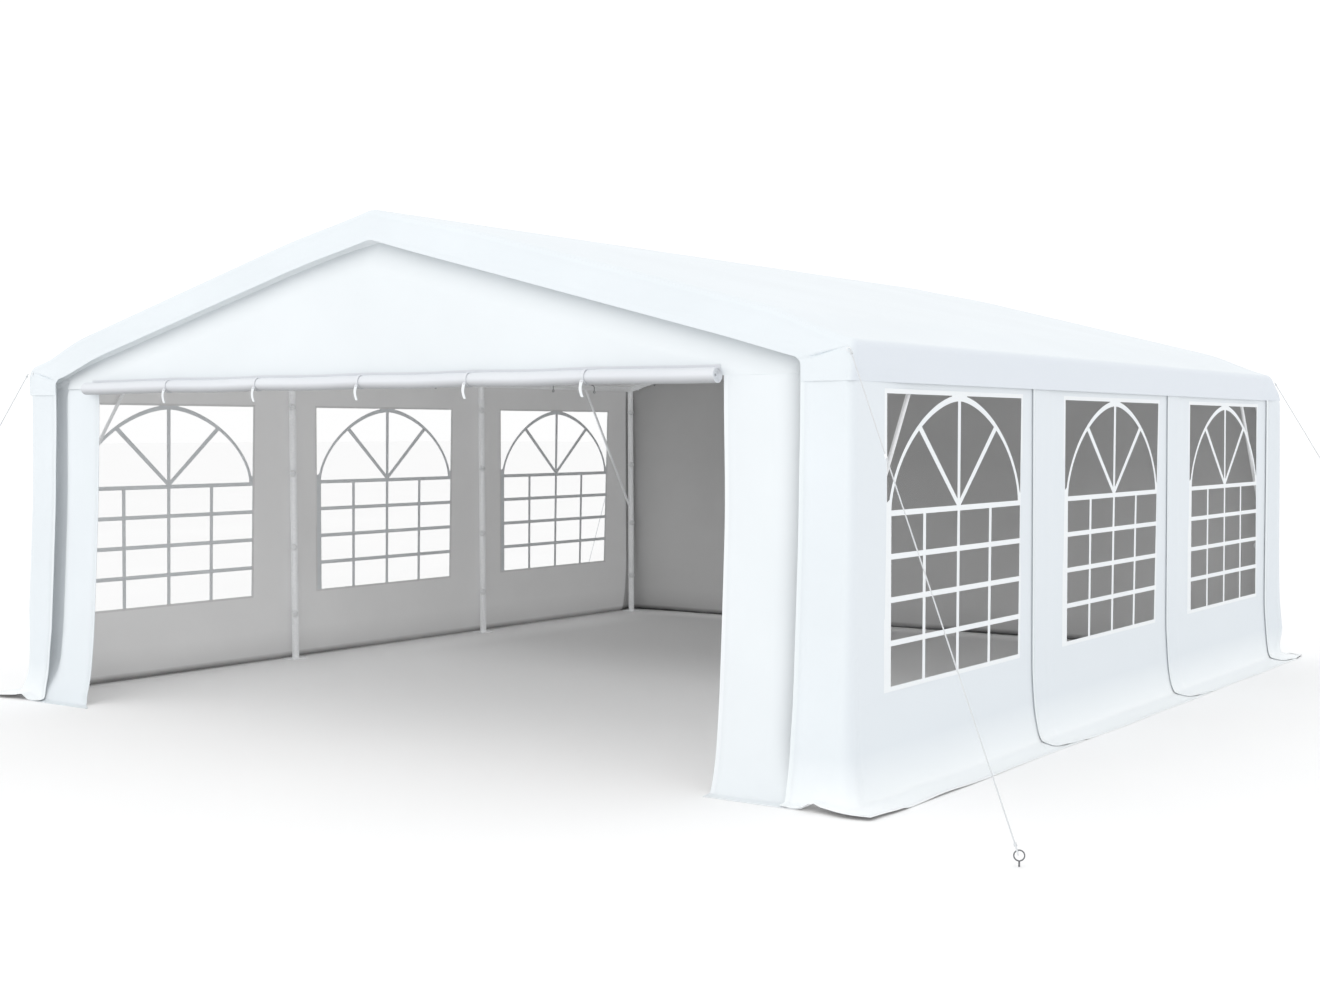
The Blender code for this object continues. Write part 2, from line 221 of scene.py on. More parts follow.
def pipe(name, start, end, radius, finish=GALVANISED_STEEL, open_ends=True):
    """A round tube between two points, hollowed at its ends, with its rims broken."""
    start, end = Vector(start), Vector(end)
    way = (end - start).normalized()
    bpy.ops.mesh.primitive_cylinder_add(
        vertices=TUBE_SIDES,
        radius=radius,
        depth=(end - start).length,
        location=(start + end) / 2,
        rotation=way.to_track_quat("Z", "Y").to_euler(),
    )
    made = settled(bpy.context.object, name, finish)
    edit(made, "FACE", lambda face: abs(face.normal.dot(way)) > 0.9)
    if open_ends:
        bpy.ops.mesh.inset(thickness=TUBE_WALL, use_individual=True)
        bpy.ops.mesh.extrude_region_shrink_fatten(TRANSFORM_OT_shrink_fatten={"value": -2 * radius})
    leave_edit()
    return rims_broken(made, angle_limit=1.0)


def model_post():
    """One post on its foot plate, standing at the origin."""
    bpy.ops.mesh.primitive_cube_add(size=1, location=(0, 0, FOOT_THICK / 2))
    plate = bpy.context.object
    plate.scale = (FOOT_SIZE, FOOT_SIZE, FOOT_THICK)
    settled(plate, "foot", GALVANISED_STEEL)
    edit(plate, "EDGE", lambda edge: abs(edge.verts[0].co.z - edge.verts[1].co.z) > 0.001)
    bpy.ops.mesh.bevel(offset=FOOT_CORNER, segments=4)
    leave_edit()
    for side in (-1, 1):
        place = (side * PEG_HOLE_REACH, side * PEG_HOLE_REACH, 0)
        bpy.ops.mesh.primitive_cylinder_add(vertices=24, radius=PEG_HOLE_R, depth=0.1, location=place)
        drill = bpy.context.object
        applied(plate, "BOOLEAN", object=drill, operation="DIFFERENCE", solver="EXACT")
        bpy.data.objects.remove(drill, do_unlink=True)
    rims_broken(plate)
    bpy.ops.mesh.primitive_torus_add(
        location=(0, 0, FOOT_THICK),
        major_radius=POST_R,
        minor_radius=WELD_R,
        major_segments=TUBE_SIDES,
        minor_segments=8,
    )
    weld = settled(bpy.context.object, "weld", GALVANISED_STEEL)
    weld.data.shade_smooth()
    bar = pipe("bar", (0, 0, FOOT_THICK / 2), (0, 0, POST_TOP_Z), POST_R)
    return joined("post", [bar, plate, weld])


post_model = model_post()
for side, word in SIDES:
    for number, frame_y in enumerate(FRAMES_Y, 1):
        name = f"post_{word}_{number}"
        standing = Matrix.Translation((side * HALF_FRAME, frame_y, 0))
        hand_over(placed_copy(post_model, name, standing), "galvanised_steel", name)
bpy.data.objects.remove(post_model, do_unlink=True)

# Rails and their fittings: one rail under the ridge and one along each eave. A welded fitting
# slides over the rail at each frame, with sockets for post and rafters, held by hex bolts.
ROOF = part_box("roof_cover")
HALF = ROOF[1].x  # to the outside of the roof cover, on all four sides
PEAK_Z = ROOF[1].z
VALANCE_Z = ROOF[0].z
SLOPE = 0.2508  # fall of the roof for each metre outwards
COS = 1 / math.hypot(1, SLOPE)
CLOTH_ROOM = 0.0313  # from a rail's axis to the outside of the roof cover, square to it
RIDGE_Z = PEAK_Z - CLOTH_ROOM / COS
EAVE_Z = RIDGE_Z - SLOPE * HALF_FRAME
RAIL_R = 0.0215
RAIL_SHORT = 0.003  # each end of a rail stays this far inside its last sleeve
SLEEVE_R = 0.0235
SLEEVE_LENGTH = 0.16
SOCKET_LENGTH = 0.12
SEAT = 0.0003  # room between tubes that meet
BOLT_R = 0.0075
BOLT_HEIGHT = 0.006
BOLT_AT = 0.085  # from the middle of a fitting, along its socket
BOLT_STACK = ((24, BOLT_R * 1.3, -0.002, 0.001), (6, BOLT_R, 0.0, BOLT_HEIGHT))  # washer and head


def hex_bolt(place, way):
    """A hex bolt head on its washer, at a place on a tube, pointing this way."""
    turn = Vector(way).to_track_quat("Z", "Y").to_euler()
    parts = []
    for sides, radius, low, high in BOLT_STACK:
        bpy.ops.mesh.primitive_cylinder_add(
            vertices=sides,
            radius=radius,
            depth=high - low,
            location=Vector(place) + Vector(way) * (low + high) / 2,
            rotation=turn,
        )
        parts.append(rims_broken(settled(bpy.context.object, "bolt", GALVANISED_STEEL)))
    return parts


def fitting(middle, low, high, sockets):
    """One fitting: a sleeve on the rail and its sockets, each with a bolt on the given side."""
    parts = [pipe("sleeve", (middle.x, low, middle.z), (middle.x, high, middle.z), SLEEVE_R)]
    for way, bolt_side in sockets:
        way, bolt_side = Vector(way), Vector(bolt_side)
        parts.append(pipe("socket", middle + way * RAIL_R * 0.5, middle + way * SOCKET_LENGTH, POST_R))
        parts += hex_bolt(middle + way * BOLT_AT + bolt_side * POST_R, bolt_side)
    return parts


def rail(name, x, sockets):
    """A rail with its four fittings, in the place of the frame's node of that name."""
    low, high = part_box(name)
    z = RIDGE_Z - SLOPE * abs(x)
    parts = [pipe(name, (x, low.y + RAIL_SHORT, z), (x, high.y - RAIL_SHORT, z), RAIL_R)]
    for frame_y in FRAMES_Y:
        near = max(frame_y - SLEEVE_LENGTH / 2, low.y)
        far = min(frame_y + SLEEVE_LENGTH / 2, high.y)
        parts += fitting(Vector((x, frame_y, z)), near, far, sockets)
    hand_over(joined(name, parts), "galvanised_steel", name)


def up_slope(side):
    """From an eave towards the ridge, on one side of the tent."""
    return Vector((-side * COS, 0, SLOPE * COS))


def below_slope(side):
    """Square to a slope, down into the tent."""
    return Vector((-side * SLOPE * COS, 0, -COS))


rail("ridge_rail", 0.0, [(-up_slope(side), below_slope(side)) for side, word in SIDES])
for side, word in SIDES:
    sockets = [((0, 0, -1), (-side, 0, 0)), (up_slope(side), below_slope(side))]
    rail(f"eave_rail_{word}", side * HALF_FRAME, sockets)

# Rafters and knee braces: plain tubes. The rafters' ends go into the fittings' sockets. The
# braces are thinner, bolted on through their ends, and stiffen the corner bays along the eaves.
BRACE_R = 0.011
BRACE_LOW_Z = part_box("knee_brace_front_right")[0].z
BRACE_END_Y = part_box("knee_brace_front_right")[1].y
BRACE_BOLTS = (0.035, 0.965)  # along a brace, as shares of its length
RAFTER_START = (SOCKET_LENGTH + SEAT) * COS

for side, word in SIDES:
    for number, frame_y in enumerate(FRAMES_Y, 1):
        name = f"rafter_{word}_{number}"
        ends = []
        for reach in (RAFTER_START, HALF_FRAME - RAFTER_START):
            ends.append((side * reach, frame_y, RIDGE_Z - SLOPE * reach))
        hand_over(pipe(name, *ends, RAIL_R), "galvanised_steel", name)
    for end, end_word in ((-1, "front"), (1, "back")):
        name = f"knee_brace_{end_word}_{word}"
        low = Vector((side * HALF_FRAME, end * (HALF_FRAME - POST_R), BRACE_LOW_Z + BRACE_R))
        high = Vector((side * HALF_FRAME, end * abs(BRACE_END_Y + BRACE_R), EAVE_Z - RAIL_R))
        parts = [pipe(name, low, high, BRACE_R, open_ends=False)]
        for share in BRACE_BOLTS:
            parts += hex_bolt(low.lerp(high, share) + Vector((-side * BRACE_R, 0, 0)), (-side, 0, 0))
        hand_over(joined(name, parts), "galvanised_steel", name)

# Woven polyethylene sheet: flat tapes of drawn plastic woven about 3 mm apart and coated white
# on both sides. It is smooth and slightly glossy, with heat-welded hems a little brighter.
TAPE = 0.006  # the tapes are drawn twice as wide as the real ones, so that they show
SHEET = 0.0014
HEM = 0.003
HEM_WIDTH = 0.022
STITCH_AT = 0.017  # from the sheet's edge
PAINTED_LIGHT_FULL_BELOW, PAINTED_LIGHT_ENDS_AT = 0.10, 0.40  # painted light on a wall's foot: full below the first, gone above the second, up from its hem
PAINTED_FOOT_SHADE_BANDS = ((0.230, 0.182, 1.0), (0.40, 0.20, 0.16))  # painted shadow at a wall's foot: where each band ends, is full, and its strength


def tarpaulin(name, shade, light, hem_light, painted_daylight=0.0, clean_to=PAINTED_LIGHT_ENDS_AT, **washes):
    """One side of the sheet. painted_daylight is a glow, painted light for the outdoor light that
    comes through it from the other side.

    A wash is a second colour: dusty, painted shade on a face that looks down;
    sides, painted shade on the faces that look out along X; clean, painted light on a
    wall's lower part, full below PAINTED_LIGHT_FULL_BELOW and gone above clean_to;
    and grimy, a painted shadow on the inner side of a wall's foot just over the ground.
    """
    values = {"Specular IOR Level": 0.35, "Coat Weight": 0.06, "Coat Roughness": 0.35}
    # The glow is painted light, a stand-in for the outdoor light that comes through the sheet.
    values |= {"Emission Color": WHITE, "Emission Strength": painted_daylight}
    made, tree, shader = new_finish(name, values)
    flat = add_node(tree, "UVMap", uv_map="cut").outputs["UV"]
    height = add_node(tree, "SeparateXYZ", {0: flat}).outputs["Y"]
    edge = add_node(tree, "Attribute", attribute_name="edge").outputs["Fac"]
    soft = add_node(tree, "TexNoise", {"Vector": flat, "Scale": 1.3, "Detail": 3.0}).outputs["Fac"]
    colour = two_tones(tree, soft, 0.3, 0.7, shade, light)
    layers = []
    # Painted shade: a face that looks down is darker.
    if "dusty" in washes:
        facing = add_node(tree, "NewGeometry").outputs["Normal"]
        upwards = add_node(tree, "SeparateXYZ", {0: facing}).outputs["Z"]
        part = add_node(tree, "MapRange", {"Value": upwards, 1: 0.05, 2: -0.85}).outputs[0]
        layers.append((part, washes["dusty"]))
    # Painted shade: faces that look out along X, at the sides, are darker.
    if "sides" in washes:
        facing = add_node(tree, "NewGeometry").outputs["Normal"]
        sideways = add_node(tree, "SeparateXYZ", {0: facing}).outputs["X"]
        sideways = add_node(tree, "Math", {0: sideways}, operation="ABSOLUTE").outputs[0]
        ramp = {"Value": sideways, 1: 0.30, 2: 1.0}
        part = add_node(tree, "MapRange", ramp, interpolation_type="SMOOTHSTEP").outputs[0]
        layers.append((part, washes["sides"]))
    in_hem = add_node(tree, "Math", {0: edge, 1: HEM_WIDTH}, operation="LESS_THAN").outputs[0]
    layers.append((in_hem, hem_light))
    # Painted light: a wall's lower part is lighter; on the outer side, its foot on the ground.
    if "clean" in washes:
        part = add_node(tree, "MapRange", {"Value": height, 1: clean_to, 2: PAINTED_LIGHT_FULL_BELOW}).outputs[0]
        layers.append((part, washes["clean"]))
    # Painted shadow: the inner side of a wall's foot is darker just over the ground, in patches.
    if "grimy" in washes:
        shade_patches = add_node(tree, "MapRange", {"Value": soft, 1: 0.35, 2: 0.60, 3: 0.72}).outputs[0]
        for ends, full, share in PAINTED_FOOT_SHADE_BANDS:
            part = add_node(tree, "MapRange", {"Value": height, 1: ends, 2: full, 4: share}).outputs[0]
            part = add_node(tree, "Math", {0: part, 1: shade_patches}, operation="MULTIPLY").outputs[0]
            layers.append((part, washes["grimy"]))
    for part, wash in layers:
        inputs = {0: part, 6: colour, 7: linear(wash)}
        colour = add_node(tree, "Mix", inputs, data_type="RGBA").outputs[2]
    tree.links.new(colour, shader.inputs["Base Color"])
    gloss = add_node(tree, "MapRange", {"Value": soft, 3: 0.42, 4: 0.56})
    tree.links.new(gloss.outputs["Result"], shader.inputs["Roughness"])
    tapes = []
    for direction in ("X", "Y"):
        inputs = {"Vector": flat, "Scale": math.pi / 10 / TAPE}
        tapes.append(add_node(tree, "TexWave", inputs, bands_direction=direction).outputs["Fac"])
    weave = add_node(tree, "Math", {0: tapes[0], 1: tapes[1]}, operation="MAXIMUM").outputs[0]
    off_stitch = add_node(tree, "Math", {0: edge, 1: STITCH_AT}, operation="SUBTRACT").outputs[0]
    from_stitch = add_node(tree, "Math", {0: off_stitch}, operation="ABSOLUTE").outputs[0]
    seam = add_node(tree, "MapRange", {"Value": from_stitch, 2: 0.0015, 3: 0.0, 4: 1.0}).outputs[0]
    relief = add_node(tree, "Math", {0: weave, 1: 0.25, 2: seam}, operation="MULTIPLY_ADD").outputs[0]
    bump = add_node(tree, "Bump", {"Height": relief, "Strength": 0.25, "Distance": 0.0006})
    tree.links.new(bump.outputs["Normal"], shader.inputs["Normal"])
    return made


# The front's finish is a lighter copy of the outer side, painted light, so the front shows a
# little brighter than the sides and the roof, and faces that look out along X are darker,
# painted shade. A wall's foot is lighter, painted light. The inner sides are a little greyer,
# painted shade, and glow, painted light for the outdoor light that comes through them; the back
# wall's inner side is a darker copy, painted shade, and the roll is darker underneath, painted shade.
# The outer side: faces that look out along X are darker, painted shade.
OUTER_SIDE = tarpaulin("white_polyethylene_outer_side", "#E2E8EC", "#E6ECF0", "#E4EAEE", sides="#DBE1E8")
WALL = ("#E2E8EC", "#E6ECF0", "#E7EDF0")
# The walls' outer side: its foot is lighter, painted light, and faces that look out along X are darker,
# painted shade.
WALL_SIDE = tarpaulin("white_polyethylene_wall_side", *WALL, clean="#F7FAFB", sides="#DFE5EA")
# A lighter copy of the outer side for the front: painted light.
FRONT_LIT_SIDE = tarpaulin("white_polyethylene_front_painted_lit", "#E5EAED", "#E9EEF1", "#ECF0F3")
# The inner side's colours are a little greyer than the outer side's: painted shade.
INNER = ("#DCDCDC", "#E2E2E2", "#E8E8E8")
INNER_SIDE = tarpaulin("white_polyethylene_inner_side", *INNER, painted_daylight=0.085)
# The inner side of the side walls, with a painted shadow at its foot.
FOOT_SIDE = tarpaulin("white_polyethylene_foot_side", *INNER, painted_daylight=0.085, grimy="#3A3A3A")
# The back wall's inner side is a darker copy of the inner side: painted shade, with painted light lower
# down and a painted shadow at its foot.
SHADED = {"clean": "#DADADA", "clean_to": 1.6, "grimy": "#4A4A4A"}
SHADED_SIDE = tarpaulin("white_polyethylene_shaded_side", "#B9B9B9", "#BFBFBF", "#C4C4C4", **SHADED)
# The roll's finish is darker where it looks down: painted shade.
ROLLED_SIDE = tarpaulin("white_polyethylene_rolled_side", "#DCDFE4", "#E2E5E9", "#E2E5E9", dusty="#AFB1B4")
BOTH_SIDES = (OUTER_SIDE, INNER_SIDE)
WALL_SIDES = (WALL_SIDE, FOOT_SIDE)

# Roof cover: one welded sheet over both slopes. It hangs down as a valance along the sides and
# as a band on the gables, is rounded where it bends over the tubes, and sags between them.
EAVE_ROUND = 0.045
FOLD_ROUND = 0.038  # where the cover turns down over the gable tubes
RIDGE_ROUND = 0.15
BAND_DEPTH = 0.146
BAND_ROUND = 0.05
BAND_INNER_X = {-1: 2.77, 1: 2.72}  # where the band turns down beside the walls
BAND_OUT = 0.004  # the band swells over the tube behind it
ROOF_SAG = 0.011
VALANCE_WAVE = 0.003
DART_DEPTH = 0.010  # the sewn dart at each corner, from the band's inner corner to the eave
DART_SWELL = 0.004
TUCK = {-1: 0.0047, 1: 0.0085}  # the valance lies this much closer to the wall at the front
TUCK_HEIGHT = 0.06  # up from the valance's hem
# How far the loose corners stand off their posts, by side and end.
CORNER_PUSH = {(-1, -1): 0.040, (1, -1): 0.020, (-1, 1): 0.020, (1, 1): 0.096}
PUSH_WAY = {-1: (0.545, -0.839), 1: (0.80, 0.60)}
PUSH_REACH = {-1: 0.16, 1: 0.105}
PUSH_FADE = {-1: (1.98, 2.14), 1: (1.84, 2.09)}
PUSH_RISE = {-1: 0.60, 1: 0.22}  # up from the ground
PUSH_LOW = {-1: 1.0, 1: 0.80}  # the share of it that is left low down
PUSH_WHOLE = (0.5, 1.5)  # between these heights it comes back to the whole
SLOPE_SWELL = 0.050  # the taut cover stands this much fuller than a straight slope
RIDGE_SWELL = 0.026
SWELL_GROWS = 0.75  # out from the ridge, until it is full
SWELL_ENDS = (2.50, 2.97)
BAND_SWELL = {-1: 0.60, 1: 0.12}  # the share of it at the lower edge of the gable band
FAR_FROM_HEM = 0.2  # what the edge attribute says where no hem is near
HEM_STEP = 0.002  # the sheet goes from a hem's thickness to its own within this


def spaced(marks):
    """Places from mark to mark. Each mark is a place and the widest step on from it."""
    places = [marks[0][0]]
    for (start, step), (end, _) in zip(marks, marks[1:]):
        count = max(1, math.ceil((end - start) / step - 1e-6))
        places += [start + (end - start) * i / count for i in range(1, count + 1)]
    return places


def ease(value, low, high):
    """From 0 at low to 1 at high, smoothly."""
    part = min(max((value - low) / (high - low), 0.0), 1.0)
    return part * part * (3 - 2 * part)


def hump(value, middle, width):
    """1 at the middle, falling smoothly to almost nothing two widths away."""
    return math.exp(-(((value - middle) / width) ** 2))


def cut_sheet(name, across, along, hang, finishes, hems="", hole=None, flip=False, measure=None):
    """A sheet cut flat as a grid of places across and along it, and then hung by hang().

    finishes are those of its outer and inner side. hems names the edges with a hem: w and e
    across, s and n along. hole is a box of places that is cut out. The UV map holds the flat
    cut in metres, and edge how near a hem lies.
    """
    columns, rows = len(across) - 1, len(along) - 1
    bpy.ops.mesh.primitive_grid_add(x_subdivisions=columns, y_subdivisions=rows, size=1)
    made = bpy.context.object
    mesh = made.data
    made.name = mesh.name = name
    for vertex in mesh.vertices:
        i = round((vertex.co.x + 0.5) * columns)
        j = round((vertex.co.y + 0.5) * rows)
        vertex.co = (across[i], along[j], 0)
    if hole:
        (west, south), (east, north) = hole

        def in_hole(face):
            middle = face.calc_center_median()
            return west < middle.x < east and south < middle.y < north

        edit(made, "FACE", in_hole)
        bpy.ops.mesh.delete(type="FACE")
        leave_edit()
    near = {
        "w": lambda x, y: x - across[0],
        "e": lambda x, y: across[-1] - x,
        "s": lambda x, y: y - along[0],
        "n": lambda x, y: along[-1] - y,
    }
    flat = [vertex.co.copy() for vertex in mesh.vertices]
    distances = [min([near[side](place.x, place.y) for side in hems] + [FAR_FROM_HEM]) for place in flat]
    group = made.vertex_groups.new(name="hem")
    group.add([i for i, distance in enumerate(distances) if distance < HEM_WIDTH + 1e-5], 1.0, "REPLACE")
    edge = mesh.attributes.new("edge", "FLOAT", "POINT")
    edge.data.foreach_set("value", distances)
    for vertex, place in zip(mesh.vertices, flat):
        vertex.co = hang(place.x, place.y)
    while mesh.uv_layers:
        mesh.uv_layers.remove(mesh.uv_layers[0])
    uv = mesh.uv_layers.new(name="cut")
    for loop in mesh.loops:
        place = flat[loop.vertex_index]
        uv.data[loop.index].uv = measure(place.x, place.y) if measure else (place.x, place.y)
    if flip:
        mesh.flip_normals()
    mesh.materials.clear()
    for finish in finishes:
        mesh.materials.append(finish)
    applied(
        made,
        "SOLIDIFY",
        thickness=HEM,
        offset=1,
        vertex_group="hem",
        thickness_vertex_group=SHEET / HEM,
        material_offset=len(finishes) - 1,
    )
    made.vertex_groups.clear()
    mesh.shade_smooth()
    mesh.set_sharp_from_angle(angle=math.radians(50))
    return made


def hemmed(marks, last=True):
    """The same marks, with the fine step that a hem needs beside the first and the last."""
    made = list(marks)
    start, step = made[0]
    made[0:1] = [(start, HEM_WIDTH), (start + HEM_WIDTH, HEM_STEP), (start + HEM_WIDTH + HEM_STEP, step)]
    if last:
        end = made[-1][0]
        made[-1:] = [(end - HEM_WIDTH - HEM_STEP, HEM_STEP), (end - HEM_WIDTH, HEM_WIDTH), (end, 1.0)]
    return made


def bent_line(corners, rounds, steps, bends):
    """A line in X and Z through corners, rounded at each. Returns places and outward ways.

    steps is the number of pieces in each straight part, and bends in each round one. The
    line runs anticlockwise for someone who looks along +Y, so its outside is on its right.
    """
    corners = [Vector(corner) for corner in corners]
    places, outward = [], []
    start = corners[0]
    for index in range(1, len(corners)):
        way = (corners[index] - corners[index - 1]).normalized()
        square = Vector((way.y, -way.x))
        last = index == len(corners) - 1
        end = corners[index]
        if not last:
            onward = (corners[index + 1] - corners[index]).normalized()
            turn = way.angle_signed(onward)
            back = abs(rounds[index - 1] * math.tan(turn / 2))
            end = corners[index] - way * back
        count = steps[index - 1]
        for i in range(count + 1 if last else count):
            places.append(start.lerp(end, i / count))
            outward.append(square)
        if last:
            break
        centre = end - square * rounds[index - 1]
        onward_square = Vector((onward.y, -onward.x))
        for i in range(bends[index - 1]):
            part = square.slerp(onward_square, i / bends[index - 1])
            places.append(centre + part * rounds[index - 1])
            outward.append(part)
        start = corners[index] + onward * back
    return places, outward


def corner_push(x, y, z):
    """How the loose cloth at a corner moves outwards here."""
    side = 1 if x > 0 else -1
    end = 1 if y > 0 else -1
    away = math.hypot(abs(x) - HALF, abs(y) - HALF)
    level = ease(z, 0.0, PUSH_RISE[end]) * (1 - ease(z, *PUSH_FADE[end]))
    level *= PUSH_LOW[end] + (1 - PUSH_LOW[end]) * ease(z, *PUSH_WHOLE)
    amount = CORNER_PUSH[side, end] * hump(away, 0.0, PUSH_REACH[end]) * level
    return Vector((side * PUSH_WAY[end][0], PUSH_WAY[end][1], 0)) * amount


def pushed(place):
    return place + corner_push(*place)


def swell(x):
    """How much fuller the roof is here than straight slopes from the ridge to the eaves."""
    full = RIDGE_SWELL + (SLOPE_SWELL - RIDGE_SWELL) * ease(abs(x), 0.0, SWELL_GROWS)
    return full * (1 - ease(abs(x), *SWELL_ENDS))


def band_swell(x):
    """The same at the lower edge of the gable band, where less of it is left on the right."""
    share = BAND_SWELL[-1] + (BAND_SWELL[1] - BAND_SWELL[-1]) * ease(x, -0.5, 0.5)
    return share * swell(x)


def roof_lines():
    """The cover's outer line on the gable, and the inner edge of its band, place for place."""
    steps = (7, 44, 44, 7)
    bends = (10, 12, 10)
    lines = []
    edges = (
        (HALF - HEM, HALF - HEM, PEAK_Z - HEM / COS, EAVE_ROUND),
        (BAND_INNER_X[1], BAND_INNER_X[-1], PEAK_Z - HEM / COS - BAND_DEPTH, BAND_ROUND),
    )
    for right, left, peak, rounding in edges:
        corners = [(right, VALANCE_Z), (right, peak - SLOPE * right), (0, peak)]
        corners += [(-left, peak - SLOPE * left), (-left, VALANCE_Z)]
        lines.append(bent_line(corners, (rounding, RIDGE_ROUND, rounding), steps, bends))
    outer, inner = lines
    dart_rows = (steps[0] + bends[0] // 2, len(outer[0]) - 1 - steps[0] - bends[0] // 2)
    return outer, inner[0], dart_rows


def tucked(x, z):
    """How much closer to the wall the valance lies at the front, just above its hem."""
    return TUCK[1 if x > 0 else -1] * (1 - ease(z, VALANCE_Z, VALANCE_Z + TUCK_HEIGHT))


def sag_between_frames(x, y):
    """How far the roof hangs below its tubes here."""
    bay = (y + HALF_FRAME) / (2 * HALF_FRAME / BAYS)
    across = math.sin(math.pi * min(abs(x) / HALF_FRAME, 1.0))
    along = math.sin(math.pi * (bay % 1.0)) ** 2 if 0 < bay < BAYS else 0.0
    return ROOF_SAG * across * along


def make_roof_cover():
    (outer, outward), inner, dart_rows = roof_lines()
    quarter = FOLD_ROUND * math.pi / 2
    top = HALF - HEM - FOLD_ROUND  # where the slopes start, along Y
    band = 0.10  # the band's share of the grid is stretched to its real depth
    marks = [(-top - quarter - band, 0.02), (-top - quarter, quarter / 8), (-top, 0.055)]
    marks += [(top, quarter / 8), (top + quarter, 0.02), (top + quarter + band, 1.0)]
    across = spaced(hemmed(marks))
    lengths = [0.0]
    for a, b in zip(outer, outer[1:]):
        lengths.append(lengths[-1] + (b - a).length)

    def hang(q, row):
        index = min(round(row), len(outer) - 1)
        x, z = outer[index]
        way = outward[index]
        end = math.copysign(1, q)
        beyond = abs(q) - top
        if beyond <= 0:
            drop = sag_between_frames(x, q) * ease(z, EAVE_Z, EAVE_Z + 0.12)
            wave = noise.noise((q * 1.6, x * 1.1, 3.7)) * 0.0016
            ripple = VALANCE_WAVE * noise.noise((q * 2.3, 8.1, 1.0 if x > 0 else 5.0))
            ripple *= ease(z, EAVE_Z - 0.02, VALANCE_Z) * ease(top - abs(q), 0.0, 0.3)
            tuck = tucked(x, z) * ease(-q, 2.42, 2.72)
            shift = way * (wave - drop + ripple - tuck)
            return pushed(Vector((x + shift.x, q, z + shift.y + swell(x))))
        if beyond < quarter:
            turn = beyond / FOLD_ROUND
            pulled = FOLD_ROUND * (1 - math.cos(turn)) + tucked(x, z)
            beyond = end * (top + FOLD_ROUND * math.sin(turn))
            return pushed(Vector((x - way.x * pulled, beyond, z - way.y * pulled + swell(x))))
        t = (beyond - quarter) / band
        start = Vector((x, z)) - way * FOLD_ROUND
        place = start.lerp(inner[index], t)
        out = BAND_OUT * math.sin(math.pi * t)
        for dart_row in dart_rows:
            apart = index - dart_row
            out -= DART_DEPTH * hump(apart, 0, 1.3) * hump(t, 0.55, 0.3)
            out += DART_SWELL * (hump(apart, 4, 3) + hump(apart, -4, 3)) * math.sin(math.pi * t)
        out -= 0.5 * (BAND_OUT + 0.5 * tucked(x, place.y))
        lifted = swell(x) + (band_swell(x) - swell(x)) * t
        return pushed(Vector((place.x, end * (top + FOLD_ROUND + out), place.y + lifted)))

    def measure(q, row):
        return (q, lengths[min(round(row), len(lengths) - 1)])

    rows = [float(i) for i in range(len(outer))]
    cover = cut_sheet("roof_cover", across, rows, hang, BOTH_SIDES, hems="we", measure=measure)
    hand_over(cover, "white_sheet", "roof_cover")


make_roof_cover()

# Side walls: three panels a side, each with a window cut out of it. They hang straight from the
# eave, lap over each other at the seams and lie out on the ground as a flap. The first panels
# go on round the corner posts to the front and end there in a hemmed flap.
WALL_LINE = (  # height, and how far the side walls and the end walls stand out from the posts
    (0.0, 0.245, 0.210),
    (0.0, 0.100, 0.155),
    (0.016, 0.060, 0.130),
    (0.088, 0.034, 0.104),
    (0.19, 0.017, 0.084),
    (0.34, 0.006, 0.068),
    (0.488, 0.004, 0.055),
    (0.9, 0.003, 0.030),
    (1.3, 0.002, 0.010),
    (1.834, 0.0, 0.001),
    (2.10, 0.0, 0.0),
)
LINE_STEPS = 14  # in each stretch of that line, when it is drawn smooth
GROUND_FLAP = 0.15
WALL_OUT = 0.0262  # from a post's axis to the inner face of a wall
CORNER_OUT = 0.030  # the same at the corners and on the ends
LAP = 0.0045  # from one sheet to the next one over it
CORNER_R = 0.042
BEND_AT = HALF_FRAME + CORNER_OUT - CORNER_R
BEND_LENGTH = CORNER_R * math.pi / 2
GROUND_Z = 0.0004
SQUARE_CORNER = 0.95  # how nearly square the wall turns its corners on the ground
ROUND_FROM_Z = 0.50  # from here up they are round
BAY = 2.0
FIRST_BAY = -3.0  # where the first bay starts, along Y
WINDOW_START, WINDOW_END = 0.30, 1.68  # along each bay, as cut
WINDOW_CORNERS = {  # along its bay as the wall hangs: the head's start and end, and the sill's
    (1, 1): (0.315, 1.741, 0.306, 1.708),
    (1, 2): (0.308, 1.729, 0.297, 1.675),
    (1, 3): (0.299, 1.679, 0.295, 1.685),
    (-1, 1): (0.262, 1.687, 0.254, 1.650),
    (-1, 2): (0.263, 1.663, 0.254, 1.627),
    (-1, 3): (0.245, 1.657, 0.240, 1.598),
}
WINDOW_FADE = 0.18  # past the window, the cloth isn't pulled any more
WINDOW_LOW_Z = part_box("window_film_right_2")[0].z - SEAT
WINDOW_TOP_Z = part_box("window_film_right_2")[1].z + SEAT
SEAM_LEAD = 0.150  # a panel starts this far before its bay
BAY_STARTS = (-3.0, -0.98, 1.02)
SEAM_COVER = 0.19
SEAM_FALL = 0.05
SEAM_LIFT = 0.004  # the lapping edge stands off a little
FLAP_X = {-1: 2.770, 1: 2.716}
FOOT_SWEEP = {("flap", -1): -0.065, ("flap", 1): 0.02, ("door", -1): -0.13, ("door", 1): 0.01}
GROUND_FLARE = 0.100  # a panel's leading edge swings forward this far on the ground
FLARE_FROM = 0.21  # up the edge from the hem
CORNER_CUT = (0.36, 0.076)  # rounding of a panel's lower corner, along the hem and up the edge
CORNER_FULL = (0.16, 60, 20)  # the foot stands further out at a corner: share, degrees and width


